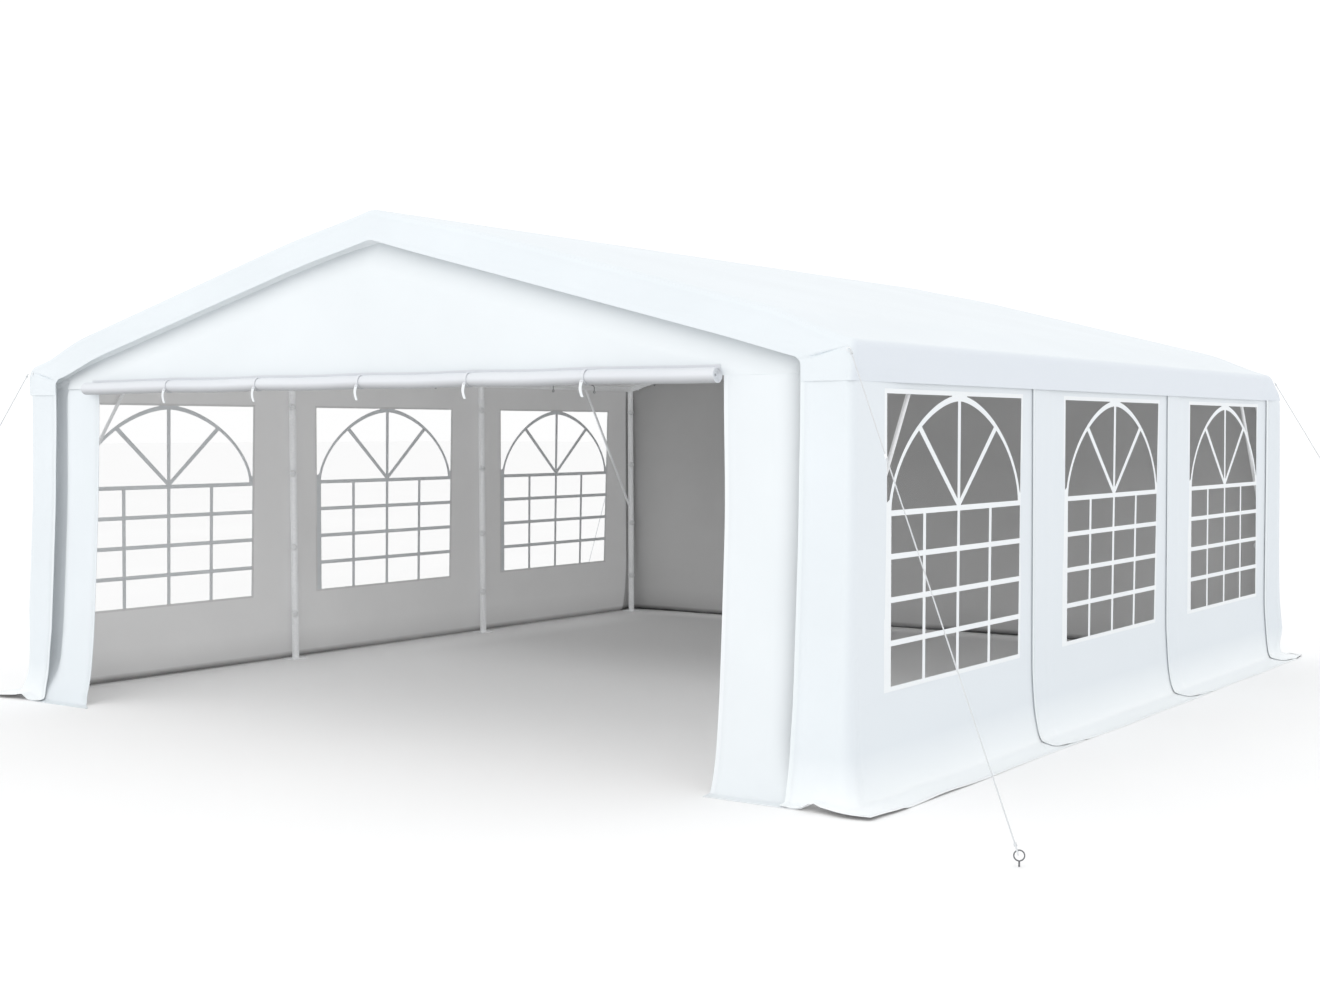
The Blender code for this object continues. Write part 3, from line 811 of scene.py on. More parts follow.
def smooth_line():
    """The wall's line drawn smooth: distance from the hem, height, the two outs, and the slope."""
    rows = [(0.0, *WALL_LINE[0])]
    ends = [WALL_LINE[0], *WALL_LINE, WALL_LINE[-1]]
    for a, b, c, d in zip(ends, ends[1:], ends[2:], ends[3:]):
        for step in range(1, LINE_STEPS + 1):
            t = step / LINE_STEPS
            place = []
            for p, q, r, s in zip(a, b, c, d):
                curve = 2 * q + (r - p) * t + (2 * p - 5 * q + 4 * r - s) * t**2
                place.append(max(0.0, (curve + (3 * q - p - 3 * r + s) * t**3) / 2))
            last = rows[-1]
            travelled = math.hypot(place[0] - last[1], place[1] - last[2])
            rows.append((last[0] + travelled, *place))
    return rows


LINE = smooth_line()


def wall_row(s):
    """Height, side out and end out at a distance from the hem, and the way square to the wall."""
    for low, high in zip(LINE, LINE[1:]):
        if s <= high[0] or high is LINE[-1]:
            part = min((s - low[0]) / (high[0] - low[0]), 1.0) if high[0] > low[0] else 0.0
            row = [a + (b - a) * part for a, b in zip(low[1:], high[1:])]
            rise, run = high[1] - low[1], high[2] - low[2]
            length = math.hypot(rise, run) or 1.0
            return row, (rise / length, -run / length)


def up_wall(z):
    """The distance from the hem to this height."""
    for low, high in zip(LINE, LINE[1:]):
        if low[1] < z <= high[1]:
            return low[0] + (high[0] - low[0]) * (z - low[1]) / (high[1] - low[1])
    return LINE[-1][0]


def round_tent(p):
    """Where the wall stands at p, and the way out.

    p is Y on the right side. Past the corners it goes on round the posts and along the ends.
    """
    beyond = abs(p) - BEND_AT
    turn = min(max(beyond, 0.0), BEND_LENGTH) / CORNER_R
    way = Vector((math.cos(turn), math.copysign(math.sin(turn), p)))
    x = BEND_AT - max(beyond - BEND_LENGTH, 0.0)
    return Vector((x, math.copysign(min(abs(p), BEND_AT), p))), way


def end_place(x):
    """The p of a place on the front or the back, less its sign."""
    return 2 * BEND_AT + BEND_LENGTH - x


FOOT_FOLDS = (  # height, place and width of each fold in the hem round the front corner
    (0.034, -end_place(2.905), 0.05),
    (0.010, -BEND_AT - 0.2 * BEND_LENGTH, 0.05),
    (0.008, -2.55, 0.22),
)


def hem_lift(p, z):
    """Where the hem stands up off the ground: folds round the corner, and slack along the side."""
    folds = sum(height * hump(p, place, width) for height, place, width in FOOT_FOLDS)
    slack = 0.0015 * max(0.0, noise.noise((p * 2.1, 4.4, 0.3)))
    return (1 - ease(z, 0.0, 0.12)) * (folds + slack)


def wall_point(p, s, layer=0.0):
    """A place on the wall, p along it and s up from its hem, with the layer that it lies in."""
    (z, side_out, end_out), (level, upright) = wall_row(s)
    anchor, way = round_tent(p)
    near_ground = 1 - ease(z, 0.0, ROUND_FROM_Z)
    squareness = 1 / max(abs(way.x), abs(way.y)) - 1
    turn = math.degrees(math.atan2(abs(way.y), way.x))
    out = side_out * way.x**2 + end_out * way.y**2
    squared = near_ground**2
    full = CORNER_FULL[0] * hump(turn, *CORNER_FULL[1:])
    out *= 1 + squareness * SQUARE_CORNER * squared + full * squared
    out *= 1 + 0.07 * noise.noise((p * 1.3, 7.7, 0.0)) * (1 - ease(z, 0.0, 0.1))
    flutes = 0.010 * noise.noise((p * 1.9, 0.9 * z, 2.2)) * ease(z, 0.02, 0.12)
    flutes *= 1 - ease(z, 0.25, WINDOW_LOW_Z)
    lift = layer * LAP + flutes
    closer = (CORNER_OUT - WALL_OUT) * (1 - ease(abs(p), 2.45, 2.85))
    reach = CORNER_R - closer + out + level * lift
    height = GROUND_Z + z + upright * layer * LAP + hem_lift(p, z)
    return Vector((anchor.x + way.x * reach, anchor.y + way.y * reach, height))


sill_s, head_s = up_wall(WINDOW_LOW_Z), up_wall(WINDOW_TOP_Z)


def pulled_along(side, p, s):
    """Where p comes to lie, since the wall's own weight pulls its windows out of square."""
    bay = min(max(math.floor((p - FIRST_BAY) / BAY), 0), BAYS - 1)
    here = p - FIRST_BAY - BAY * bay
    across = min(max((here - WINDOW_START) / (WINDOW_END - WINDOW_START), 0.0), 1.0)
    up = min(max((s - sill_s) / (head_s - sill_s), 0.0), 1.0)
    head_front, head_rear, sill_front, sill_rear = WINDOW_CORNERS[side, bay + 1]
    front = sill_front + (head_front - sill_front) * up - WINDOW_START
    rear = sill_rear + (head_rear - sill_rear) * up - WINDOW_END
    past = max(WINDOW_START - here, here - WINDOW_END, 0.0)
    past_s = max(sill_s - s, s - head_s, 0.0)
    fade = (1 - ease(past, 0.0, WINDOW_FADE)) * (1 - ease(past_s, 0.0, 0.3))
    return p + (front + (rear - front) * across) * fade


def flared(p, s, edge):
    """Moves a place near a panel's leading edge forward on the ground, and rounds its corner."""
    corner = Vector((1 - (p - edge) / CORNER_CUT[0], 1 - s / CORNER_CUT[1]))
    if corner.x > 0 and corner.y > 0:
        corner *= max(corner) / corner.length
        p, s = edge + CORNER_CUT[0] * (1 - corner.x), CORNER_CUT[1] * (1 - corner.y)
    on_ground = 1 - ease(s, 0.0, FLARE_FROM)
    return p - GROUND_FLARE * on_ground * hump(p, edge, 0.30), s


def window_ends(number):
    """Where the window of this bay starts and ends along Y, as cut."""
    start = FIRST_BAY + BAY * (number - 1)
    return start + WINDOW_START, start + WINDOW_END


def rows_up(step, marks):
    """A wall's rows: close together where its foot lies out on the ground, and wider above."""
    foot = [(0.0, 0.012), (GROUND_FLAP + 0.06, 0.02), (GROUND_FLAP + 0.20, step)]
    return spaced(hemmed([*foot, *marks], last=False))


def side_panel(number, side, word):
    window = window_ends(number)
    last_s = up_wall(EAVE_Z - 0.004)
    if number == 1:
        start = -end_place(FLAP_X[side])
        marks = [(start, 0.04), (-BEND_AT - BEND_LENGTH, BEND_LENGTH / 14), (-BEND_AT, 0.03)]
    else:
        start = BAY_STARTS[number - 1] - SEAM_LEAD
        marks = [(start, 0.02), (start + CORNER_CUT[0], 0.035)]
    if number < BAYS:
        end = BAY_STARTS[number] - SEAM_LEAD + SEAM_COVER - 0.004
    else:
        end = HALF_FRAME - 0.03
    marks += [(window[0], 0.05), (window[1], 0.035), (end, 1.0)]
    across = spaced(hemmed(marks, last=False))
    along = rows_up(0.03, [(sill_s, 0.05), (head_s, 0.04), (last_s, 1.0)])
    covered = start + SEAM_COVER

    def hang(p, s):
        if number == 1:
            layer = 1 - ease(p, -BEND_AT - BEND_LENGTH, -BEND_AT)
            layer += 1.3 * hump(p, start, 0.03) * (1 - ease(s, 1.6, 1.9))
            swept = FOOT_SWEEP["flap", side] * hump(p, start, 0.12)
            swept *= 1 - ease(s, 0.0, GROUND_FLAP + 0.12)
            return mirrored(wall_point(pulled_along(side, p, s) + swept, s, layer))
        p, s = flared(p, s, start)
        layer = 1 - ease(p, covered, covered + SEAM_FALL)
        lift = SEAM_LIFT / LAP * hump(p, start, 0.025)
        return mirrored(wall_point(pulled_along(side, p, s), s, layer + lift))

    def mirrored(place):
        return pushed(Vector((side * place.x, place.y, place.z)))

    name = f"side_wall_{word}_{number}"
    hole = ((window[0], sill_s), (window[1], head_s))
    wall = cut_sheet(name, across, along, hang, WALL_SIDES, hems="ws", hole=hole, flip=side < 0)
    hand_over(wall, "white_sheet", name)


for side, word in SIDES:
    for number in range(1, BAYS + 1):
        side_panel(number, side, word)

# Windows: clear soft film, welded behind the opening's edge. White strips welded on its outside
# make a border, a grid of bars and an arch with three rays, as on a church window.
FILM_IN = 0.0034  # from the wall's inner line to the film
FILM_LAP = 0.014
BAR = 0.026
BAR_THICK = 0.0012
BAR_OFF = 0.0002  # the weld's thickness, between sheet and bars
BORDER = 0.022
PANE_ROWS = 4
PANE_COLUMNS = 4
PANE_HEIGHT = 0.1995
ARCH_HALF = 0.682
ARCH_SHIFT = 0.007  # the arch stands a little off the window's middle
ARCH_POWER = 1.70  # an ellipse would have 2, and this arch is a little leaner
ARCH_TOUCH = 0.045  # to each side of its middle the arch touches the window's head
ARCH_STEPS = 28
RAY_REACH = 0.385


def clear_film():
    values = {"Base Color": linear("#5A5C5E"), "Roughness": 0.25, "Alpha": 0.05}
    values["Specular IOR Level"] = 0.06
    made, tree, shader = new_finish("clear_vinyl_film", values)
    flat = add_node(tree, "UVMap", uv_map="cut").outputs["UV"]
    ripples = add_node(tree, "TexNoise", {"Vector": flat, "Scale": 3.0, "Detail": 2.0})
    bump = add_node(tree, "Bump", {"Height": ripples.outputs["Fac"], "Strength": 0.3, "Distance": 0.01})
    tree.links.new(bump.outputs["Normal"], shader.inputs["Normal"])
    return made


CLEAR_FILM = clear_film()
# The window bars and the ties' tails glow a little: painted light.
WHITE_STRIP = tarpaulin("white_vinyl_strip", "#E2E6E9", "#E7EBED", "#E7EBED", painted_daylight=0.05)


def arch_height(across, half, height):
    """The height of the arch's line above its spring, at a place across from its middle."""
    return height * max(0.0, 1 - (abs(across) / half) ** ARCH_POWER) ** (1 / ARCH_POWER)


def pane_outlines(width, height):
    """The openings between the bars, as outlines in a flat window with its corner at 0, 0."""
    middle = width / 2 + ARCH_SHIFT
    spring = PANE_ROWS * PANE_HEIGHT
    outlines = []
    left = middle - ARCH_HALF
    uprights = [left + 2 * ARCH_HALF * column / PANE_COLUMNS for column in range(PANE_COLUMNS)]
    uprights[0] += BAR / 2
    uprights.append(width + BAR / 2)
    for west, east in zip(uprights, uprights[1:]):
        for row in range(PANE_ROWS):
            low = row * PANE_HEIGHT + (BAR / 2 if row else 0.0)
            high = (row + 1) * PANE_HEIGHT - BAR / 2
            outlines.append(rectangle(west + BAR / 2, east - BAR / 2, low, high))
    rise = height - spring
    outlines += spandrels(middle, spring, width, height, rise)
    outlines += fan(middle, spring + BAR / 2, rise - BAR - BAR / 2)
    return outlines


def rectangle(west, east, low, high):
    return [(west, low), (east, low), (east, high), (west, high)]


def spandrels(middle, spring, width, height, rise):
    """The two openings outside the arch, up to the window's upper corners."""
    made = []
    for way, edge in ((-1, 0.0), (1, width)):
        reach = abs(edge - middle)
        curve = []
        for step in range(ARCH_STEPS + 1):
            across = ARCH_HALF * math.cos(math.pi / 2 * step / ARCH_STEPS)
            top = spring + arch_height(across, ARCH_HALF, rise + 0.004)
            if across <= reach and across >= ARCH_TOUCH:
                curve.append((middle + way * across, min(top, height)))
        curve = [point for point in curve if point[1] > spring + 0.06]
        curve.insert(0, (edge, spring + 0.05))
        curve = [point for point in curve if point[1] < height - 0.002]
        curve.append((curve[-1][0], height))
        made.append([*curve, (edge, height)])
    return made


def fan(middle, base, rise):
    """The four openings between the arch and its three rays."""
    inner_half = ARCH_HALF - BAR
    slant = math.atan2(arch_height(RAY_REACH, inner_half, rise), RAY_REACH)
    rays = [0.0, slant, math.pi / 2, math.pi - slant, math.pi]
    made = []
    for low, high in zip(rays, rays[1:]):
        gap_low = 0.0 if low == 0.0 else BAR / 2
        gap_high = 0.0 if high == math.pi else BAR / 2
        apex = fan_apex(low, high, gap_low, gap_high)
        rim = []
        for step in range(ARCH_STEPS + 1):
            angle = low + (high - low) * step / ARCH_STEPS
            flat_part = abs(math.cos(angle) / inner_half) ** ARCH_POWER
            reach = (flat_part + abs(math.sin(angle) / rise) ** ARCH_POWER) ** (-1 / ARCH_POWER)
            point = Vector((math.cos(angle), math.sin(angle))) * reach
            if clear_of(point, low, gap_low) and clear_of(point, high, gap_high):
                rim.append((middle + point.x, base + point.y))
        made.append([(middle + apex.x, base + apex.y), *rim])
    return made


def clear_of(point, angle, gap):
    """Whether a point lies at least a gap away from the ray at this angle."""
    return abs(point.x * math.sin(angle) - point.y * math.cos(angle)) >= gap


def fan_apex(low, high, gap_low, gap_high):
    """Where the edges of two rays' bars meet near the middle of the fan."""
    a = Vector((math.cos(low), math.sin(low)))
    b = Vector((math.cos(high), math.sin(high)))
    from_low = Vector((-a.y, a.x)) * gap_low
    from_high = Vector((b.y, -b.x)) * gap_high
    crossing = a.x * b.y - a.y * b.x
    apart = from_high - from_low
    t = (apart.x * b.y - apart.y * b.x) / crossing
    return from_low + a * t


def drawn(name, kind, lines, **settings):
    """A mesh of lines that are drawn as a curve of this kind."""
    curve = bpy.data.curves.new(name, "CURVE")
    for setting, value in settings.items():
        setattr(curve, setting, value)
    for line in lines:
        spline = curve.splines.new(kind)
        spline.points.add(len(line) - 1)
        for point, place in zip(spline.points, line):
            point.co = (*place, 1)
        if kind == "NURBS":
            spline.order_u = 3
            spline.use_endpoint_u = True
        spline.use_cyclic_u = curve.dimensions == "2D"
    made = bpy.data.objects.new(name, curve)
    bpy.context.scene.collection.objects.link(made)
    only(made)
    bpy.ops.object.convert(target="MESH")
    return bpy.context.object


def strips_model(width, height):
    """The border, bars and arch of one window, cut flat out of one sheet."""
    border = rectangle(-BORDER, width + BORDER, -BORDER, height + BORDER)
    outlines = [[(x, y, 0) for x, y in line] for line in [border, *pane_outlines(width, height)]]
    return drawn("bars", "POLY", outlines, dimensions="2D", fill_mode="FRONT")


bars_model = strips_model(WINDOW_END - WINDOW_START, head_s - sill_s)


def without_hems(piece):
    """Gives a piece the edge attribute of a sheet that has no hem."""
    edge = piece.data.attributes.new("edge", "FLOAT", "POINT")
    edge.data.foreach_set("value", [FAR_FROM_HEM] * len(piece.data.vertices))


def hang_bars(name, start, side):
    """The flat bars, hung on the outside of one window and made solid."""
    made = placed_copy(bars_model, name, Matrix.Identity(4))
    mesh = made.data
    uv = mesh.uv_layers.new(name="cut")
    for loop in mesh.loops:
        uv.data[loop.index].uv = mesh.vertices[loop.vertex_index].co.xy
    without_hems(made)
    for vertex in mesh.vertices:
        p, s = start + vertex.co.x, sill_s + vertex.co.y
        spot = wall_point(pulled_along(side, p, s), s)
        vertex.co = pushed(Vector((side * (spot.x + SHEET + BAR_OFF), spot.y, spot.z)))
    applied(made, "SOLIDIFY", thickness=BAR_THICK, offset=-1)
    edit(made, "FACE", lambda face: True)
    bpy.ops.mesh.normals_make_consistent(inside=False)
    leave_edit()
    mesh.materials.clear()
    mesh.materials.append(WHITE_STRIP)
    return made


def window(number, side, word):
    start, end = window_ends(number)
    low, high = start - FILM_LAP, end + FILM_LAP
    across = spaced([(low, 0.06), (high, 1.0)])
    along = spaced([(sill_s - FILM_LAP, 0.06), (head_s + FILM_LAP, 1.0)])

    def hang(p, s):
        place = wall_point(pulled_along(side, p, s), s)
        ripple = 0.0008 * noise.noise((p * 2.0, s * 2.0, 1.0))
        return pushed(Vector((side * (place.x - FILM_IN + ripple), place.y, place.z)))

    name = f"window_film_{word}_{number}"
    film = cut_sheet(name, across, along, hang, (CLEAR_FILM,), flip=side < 0)
    bars = hang_bars(f"window_bars_{word}_{number}", start, side)
    hand_over(film, "clear_film", name)
    hand_over(bars, "white_sheet")


for side, word in SIDES:
    for number in range(1, BAYS + 1):
        window(number, side, word)
bpy.data.objects.remove(bars_model, do_unlink=True)

# Back wall: one closed sheet up to the ridge. Its sides wrap round both rear corner posts and
# lap over the last side panels, and its foot lies out on the ground like theirs.
BACK_EDGE_Y = 2.845
GABLE_FROM_Z = 1.86  # above this, a gable's rows spread up to the roof
ROOF_CLEARANCE = 0.010
RIDGE_DIP, RIDGE_DIP_REACH = 0.012, 0.12  # the ridge's rounding, under the point of its slopes
WRAP_X = (2.84, 2.92)  # between these a gable sheet's top comes down to a corner post
WRAP_Z = EAVE_Z - 0.006


def below_roof(x, drop):
    """The height of a line this far below the roof's own slopes."""
    return PEAK_Z - drop - SLOPE * abs(x) - RIDGE_DIP * hump(x, 0, RIDGE_DIP_REACH)


def gable_top(x):
    """How high a gable sheet goes under the roof cover, lower where it wraps round a post."""
    under = below_roof(x, (HEM + ROOF_CLEARANCE) / COS) + swell(x)
    return under + (WRAP_Z - under) * ease(abs(x), *WRAP_X)


def make_back_wall():
    middle = end_place(0.0)
    half = middle - BACK_EDGE_Y
    round_from = middle - BEND_AT
    round_to = round_from - BEND_LENGTH
    marks = [(-half, 0.03), (-round_from, BEND_LENGTH / 12), (-round_to, 0.05)]
    marks += [(round_to, BEND_LENGTH / 12), (round_from, 0.03), (half, 1.0)]
    across = spaced(hemmed(marks))
    gable_s = up_wall(GABLE_FROM_Z)
    along = rows_up(0.04, [(gable_s, 0.04), (gable_s + 1.0, 1.0)])

    def hang(w, s):
        side = -1 if w > 0 else 1
        p = middle - abs(w)
        flat_s = min(s, gable_s)
        if w:
            p, flat_s = flared(p, flat_s, BACK_EDGE_Y)
        layer = 1 - ease(p, BEND_AT, BEND_AT + BEND_LENGTH)
        place = wall_point(p, flat_s, layer + SEAM_LIFT / LAP * hump(p, BACK_EDGE_Y, 0.025))
        if s > gable_s:
            part = s - gable_s
            place.z = GABLE_FROM_Z + (gable_top(place.x) - GABLE_FROM_Z) * part
            place.y -= 0.006 * math.sin(math.pi * part) * ease(BEND_AT - abs(place.x), 0.0, 0.6)
        place.y += 0.004 * noise.noise((place.x * 1.2, place.z * 1.1, 9.3)) * ease(place.y, 2.9, 2.96)
        return pushed(Vector((side * place.x, place.y, place.z)))

    def measure(w, s):
        if s <= gable_s:
            return (w, s)
        x = max(0.0, BEND_AT - max(0.0, middle - abs(w) - BEND_AT - BEND_LENGTH))
        return (w, gable_s + (gable_top(x) - GABLE_FROM_Z) * (s - gable_s))

    finishes = (WALL_SIDE, SHADED_SIDE)
    wall = cut_sheet("back_wall", across, along, hang, finishes, hems="wes", measure=measure)
    hand_over(wall, "white_sheet", "back_wall")


make_back_wall()

# Front gable panel and strips: what stays of the front wall above and beside the doorway. They
# lie behind the roof's band and the side panels' flaps, and draw in a little beside their edges.
STRIP_OUTER_X = 2.90
DOOR_X = {-1: -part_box("front_strip_left")[1].x, 1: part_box("front_strip_right")[0].x + 0.016}
GABLE_LOW_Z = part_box("front_gable_panel")[0].z
RECESS = 0.070
RECESS_REACH = 0.15  # how far from those edges the front wall is drawn in
RECESS_FADE = 1.3
BESIDE_FLAP, BESIDE_FADE = 1.2, 1.7  # beside the flap it is deeper, and fades sooner
RECESS_MOST = 1.2  # as a share of RECESS


def band_edge(x):
    """The height of the lower edge of the roof cover's band on the gable."""
    return below_roof(x, BAND_DEPTH) + band_swell(x)


def fading(away):
    """1 up to an edge, and from there nearly straight down to 0."""
    return max(0.0, 1 - max(away, 0.0) / RECESS_REACH) ** RECESS_FADE


def drawn_in(side, x, z):
    """How far the front wall draws in behind the band above it and the flap beside it."""
    below = band_edge(x) - z
    under = fading(below) * (1 - ease(-below, 0.005, 0.055))
    beside = BESIDE_FLAP * fading(FLAP_X[side] - abs(x)) ** BESIDE_FADE
    beside *= ease(z, 0.0, 0.3) * ease(below, -0.04, 0.06)
    return RECESS * min(math.hypot(under, beside), RECESS_MOST)


def strip(side, word):
    """The strip of front wall between the doorway and the corner post."""
    inner = DOOR_X[side]
    steps = ((inner, 0.03), (FLAP_X[side] - 0.16, 0.012), (FLAP_X[side] + 0.02, 0.03), (STRIP_OUTER_X, 1.0))
    across = spaced(hemmed([(-end_place(x), step) for x, step in steps], last=False))
    top_s = up_wall(GABLE_LOW_Z)
    along = rows_up(0.04, [(top_s, 1.0)])

    def hang(p, s):
        place = wall_point(p, s)
        sweep = FOOT_SWEEP["door", side] * hump(place.x, inner, 0.3)
        sweep *= 1 - ease(s, 0.0, GROUND_FLAP + 0.10)
        edge = 0.012 * ease(place.z, 1.2, 1.95) * hump(place.x, inner, 0.25)
        drawn = drawn_in(side, place.x, place.z)
        return pushed(Vector((side * (place.x + sweep - edge), place.y + drawn, place.z)))

    name = f"front_strip_{word}"
    outer = FRONT_LIT_SIDE if side > 0 else OUTER_SIDE  # the left one stands in its corner's shade
    made = cut_sheet(name, across, along, hang, (outer, INNER_SIDE), hems="ws", flip=side < 0)
    hand_over(made, "white_sheet", name)


def make_gable_panel():
    across = spaced([(-STRIP_OUTER_X, 0.012), (-2.60, 0.035), (2.55, 0.012), (STRIP_OUTER_X, 1.0)])
    along = spaced([(0.0, 1 / 26), (1.0, 0.1), (2.0, 1.0)])

    def gable_z(x, part):
        """The rows lie closer together towards the band's edge, which is at 1."""
        edge_z = band_edge(x)
        if part <= 1:
            return edge_z - (edge_z - GABLE_LOW_Z) * (1 - part) ** 2
        return edge_z + (gable_top(x) - edge_z) * (part - 1)

    def hang(x, part):
        z = gable_z(x, part)
        drawn = drawn_in(1 if x > 0 else -1, x, z)
        return pushed(Vector((x, drawn - HALF_FRAME - CORNER_OUT, z)))

    def measure(x, part):
        return (x, gable_z(x, part) - GABLE_LOW_Z)

    panel = cut_sheet("front_gable_panel", across, along, hang, (FRONT_LIT_SIDE, INNER_SIDE), measure=measure)
    height = gable_top(0.0) - GABLE_LOW_Z
    area = STRIP_OUTER_X * (height + gable_top(STRIP_OUTER_X) - GABLE_LOW_Z)
    hand_over(panel, "white_sheet", "front_gable_panel")


for side, word in SIDES:
    strip(side, word)
make_gable_panel()

# Rolled-up front wall: the middle of the front wall, rolled up outwards into a loose roll under
# the gable. Five tape ties, sewn to the gable, go round it and hang down with their tails.
roll_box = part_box("door_roll")
ROLL_R = (roll_box[1].z - roll_box[0].z) / 2
ROLL_Z = (roll_box[1].z + roll_box[0].z) / 2
ROLL_Y = (roll_box[1].y + roll_box[0].y) / 2
ROLL_CORE_R = 0.011
ROLL_PITCH = 0.00245
TURN_STEPS = 26
TIE_X = (-1.635, -0.857, -0.04, 0.74, 1.51)
TIE_WIDTH = 0.020
TIE_THICK = 0.0016
TIE_PINCH = 0.0035
TIE_TAIL_Z = 1.826
TIE_TAIL_STEPS = 8
TIE_KNOT_TURN = math.radians(205)  # round the roll, from its back over its top
KNOT_SHAPE = (0.9, 0.5, 0.75)
ROLL_DROOP = 0.004
ROLL_HEAD = 0.05  # of sheet that runs up from the roll behind the gable panel


def roll_size(x):
    """How thick the roll is here: pinched at each tie, and a little fuller between them."""
    pinch = sum(hump(x, tie_x, 0.05) for tie_x in TIE_X)
    return 1 - TIE_PINCH / ROLL_R * pinch + 0.012 * noise.noise((x * 1.7, 0.2, 0.9))


def roll_sag(x):
    """How far the roll hangs down between its ties."""
    marks = [roll_box[0].x - 0.5, *TIE_X, roll_box[1].x + 0.5]
    for near, far in zip(marks, marks[1:]):
        if near <= x <= far:
            return ROLL_DROOP * math.sin(math.pi * (x - near) / (far - near)) ** 2
    return 0.0


def make_roll():
    turns = (ROLL_R - ROLL_CORE_R) / ROLL_PITCH
    length = math.pi * (ROLL_R**2 - ROLL_CORE_R**2) / ROLL_PITCH
    steps = round(turns * TURN_STEPS)
    across = spaced([(roll_box[0].x, 0.05), (roll_box[1].x, 1.0)])
    along = [float(i) for i in range(steps + 4)]

    def hang(x, step):
        size = roll_size(x)
        z_middle = ROLL_Z - roll_sag(x)
        if step > steps:
            up = ROLL_HEAD * (step - steps) / 3
            return Vector((x, ROLL_Y + (ROLL_R - HEM) * size, z_middle + up))
        turn = 2 * math.pi * (step - steps) / TURN_STEPS
        radius = (ROLL_R - HEM - ROLL_PITCH * (steps - step) / TURN_STEPS) * size
        ragged = 0.003 * noise.noise((0.8 * step / TURN_STEPS, 5.5, 0.0))
        domed = 0.016 * (radius / ROLL_R) ** 3
        end_x = roll_box[1].x if x > 0 else -roll_box[0].x
        skew = (ragged - domed) * ease(abs(x), end_x - 0.09, end_x)
        y = ROLL_Y + radius * math.cos(turn)
        return Vector((x + math.copysign(skew, x), y, z_middle + radius * math.sin(turn)))

    def measure(x, step):
        return (x, step * length / steps)

    roll = cut_sheet("door_roll", across, along, hang, (ROLLED_SIDE,), measure=measure)
    ties = [tie(number, x) for number, x in enumerate(TIE_X, 1)]
    hand_over(roll, "white_sheet", "door_roll")


def tie_places(x):
    """The tie's line in Y and Z: out from between the roll and the gable, and round the front."""
    places = []
    for degrees in range(90, 291, 10):
        turn = math.radians(degrees)
        reach = ROLL_R * roll_size(x) + TIE_THICK * ease(degrees, 90, 130)
        height = ROLL_Z - roll_sag(x) + reach * math.sin(turn)
        places.append(Vector((ROLL_Y + reach * math.cos(turn), height)))
    return places


def tail_places(start):
    """The tail's line in Y and Z: down from its start, bowed a little towards the front."""
    places = []
    for step in range(TIE_TAIL_STEPS + 1):
        t = step / TIE_TAIL_STEPS
        bow = 0.003 + 0.006 * math.sin(math.pi * t * 0.8)
        places.append(Vector((start.x - bow, start.y + (TIE_TAIL_Z - start.y) * t)))
    return places


def tape(name, x, line, bend, finish):
    """A length of tape along a line in Y and Z. bend is how far it drifts and narrows on its way."""
    count = len(line) - 1

    def hang(w, step):
        place = line[round(step)]
        t = step / count
        drift = bend * (-0.008 * math.sin(math.pi * t) + 0.006 * t)
        return Vector((x + drift + w * (1 - 0.25 * bend * t), place.x, place.y))

    across = [-TIE_WIDTH / 2, 0.0, TIE_WIDTH / 2]
    return cut_sheet(name, across, [float(i) for i in range(count + 1)], hang, (finish,))


def tie(number, x):
    """One tape tie: a band round the roll, a knot under it, and a tail that hangs down."""
    reach = ROLL_R * roll_size(x) + TIE_THICK
    start = Vector((math.cos(TIE_KNOT_TURN), math.sin(TIE_KNOT_TURN))) * reach + Vector((ROLL_Y, ROLL_Z))
    band = tape("band", x, tie_places(x), 0.0, ROLLED_SIDE)
    tail = tape("tail", x, tail_places(start), 1.0, WHITE_STRIP)
    place = (x, start.x - 0.002, start.y - 0.004)
    bpy.ops.mesh.primitive_uv_sphere_add(segments=16, ring_count=10, radius=TIE_WIDTH / 2, location=place)
    knot = bpy.context.object
    knot.scale = KNOT_SHAPE
    settled(knot, "knot", ROLLED_SIDE)
    knot.data.shade_smooth()
    without_hems(knot)
    knot.data.uv_layers[0].name = "cut"
    return hand_over(joined(f"roll_tie_{number}", [band, tail, knot]), "white_sheet")


make_roll()

# Wall ties: an elastic cord from the wall round the inner side of each post, held by a moulded
# white ball. Four of them hold the wall at each post.
BALL_R = 0.024
ELASTIC_R = 0.0022
TIE_HEIGHTS = (0.335, 0.82, 1.355, 1.835)
BALL_TURN = math.radians(45)  # the balls sit to the front of each post, but to the back of the first


def mottled(tree, shader, dark, light, low, high, **grain):
    """Colours a shader by a soft noise that stays on the piece, and returns that noise."""
    place = add_node(tree, "TexCoord").outputs["Object"]
    cloud = add_node(tree, "TexNoise", {"Vector": place, **grain}).outputs["Fac"]
    tree.links.new(two_tones(tree, cloud, low, high, dark, light), shader.inputs["Base Color"])
    return cloud


def white_plastic():
    """Moulded polypropylene: even, smooth and softly glossy, a little see-through in real life."""
    made, tree, shader = new_finish("moulded_polypropylene", {"Roughness": 0.32})
    mottled(tree, shader, "#ECEEF0", "#F4F5F6", 0.3, 0.7, Scale=60.0, Detail=2.0)
    return made


WHITE_PLASTIC = white_plastic()


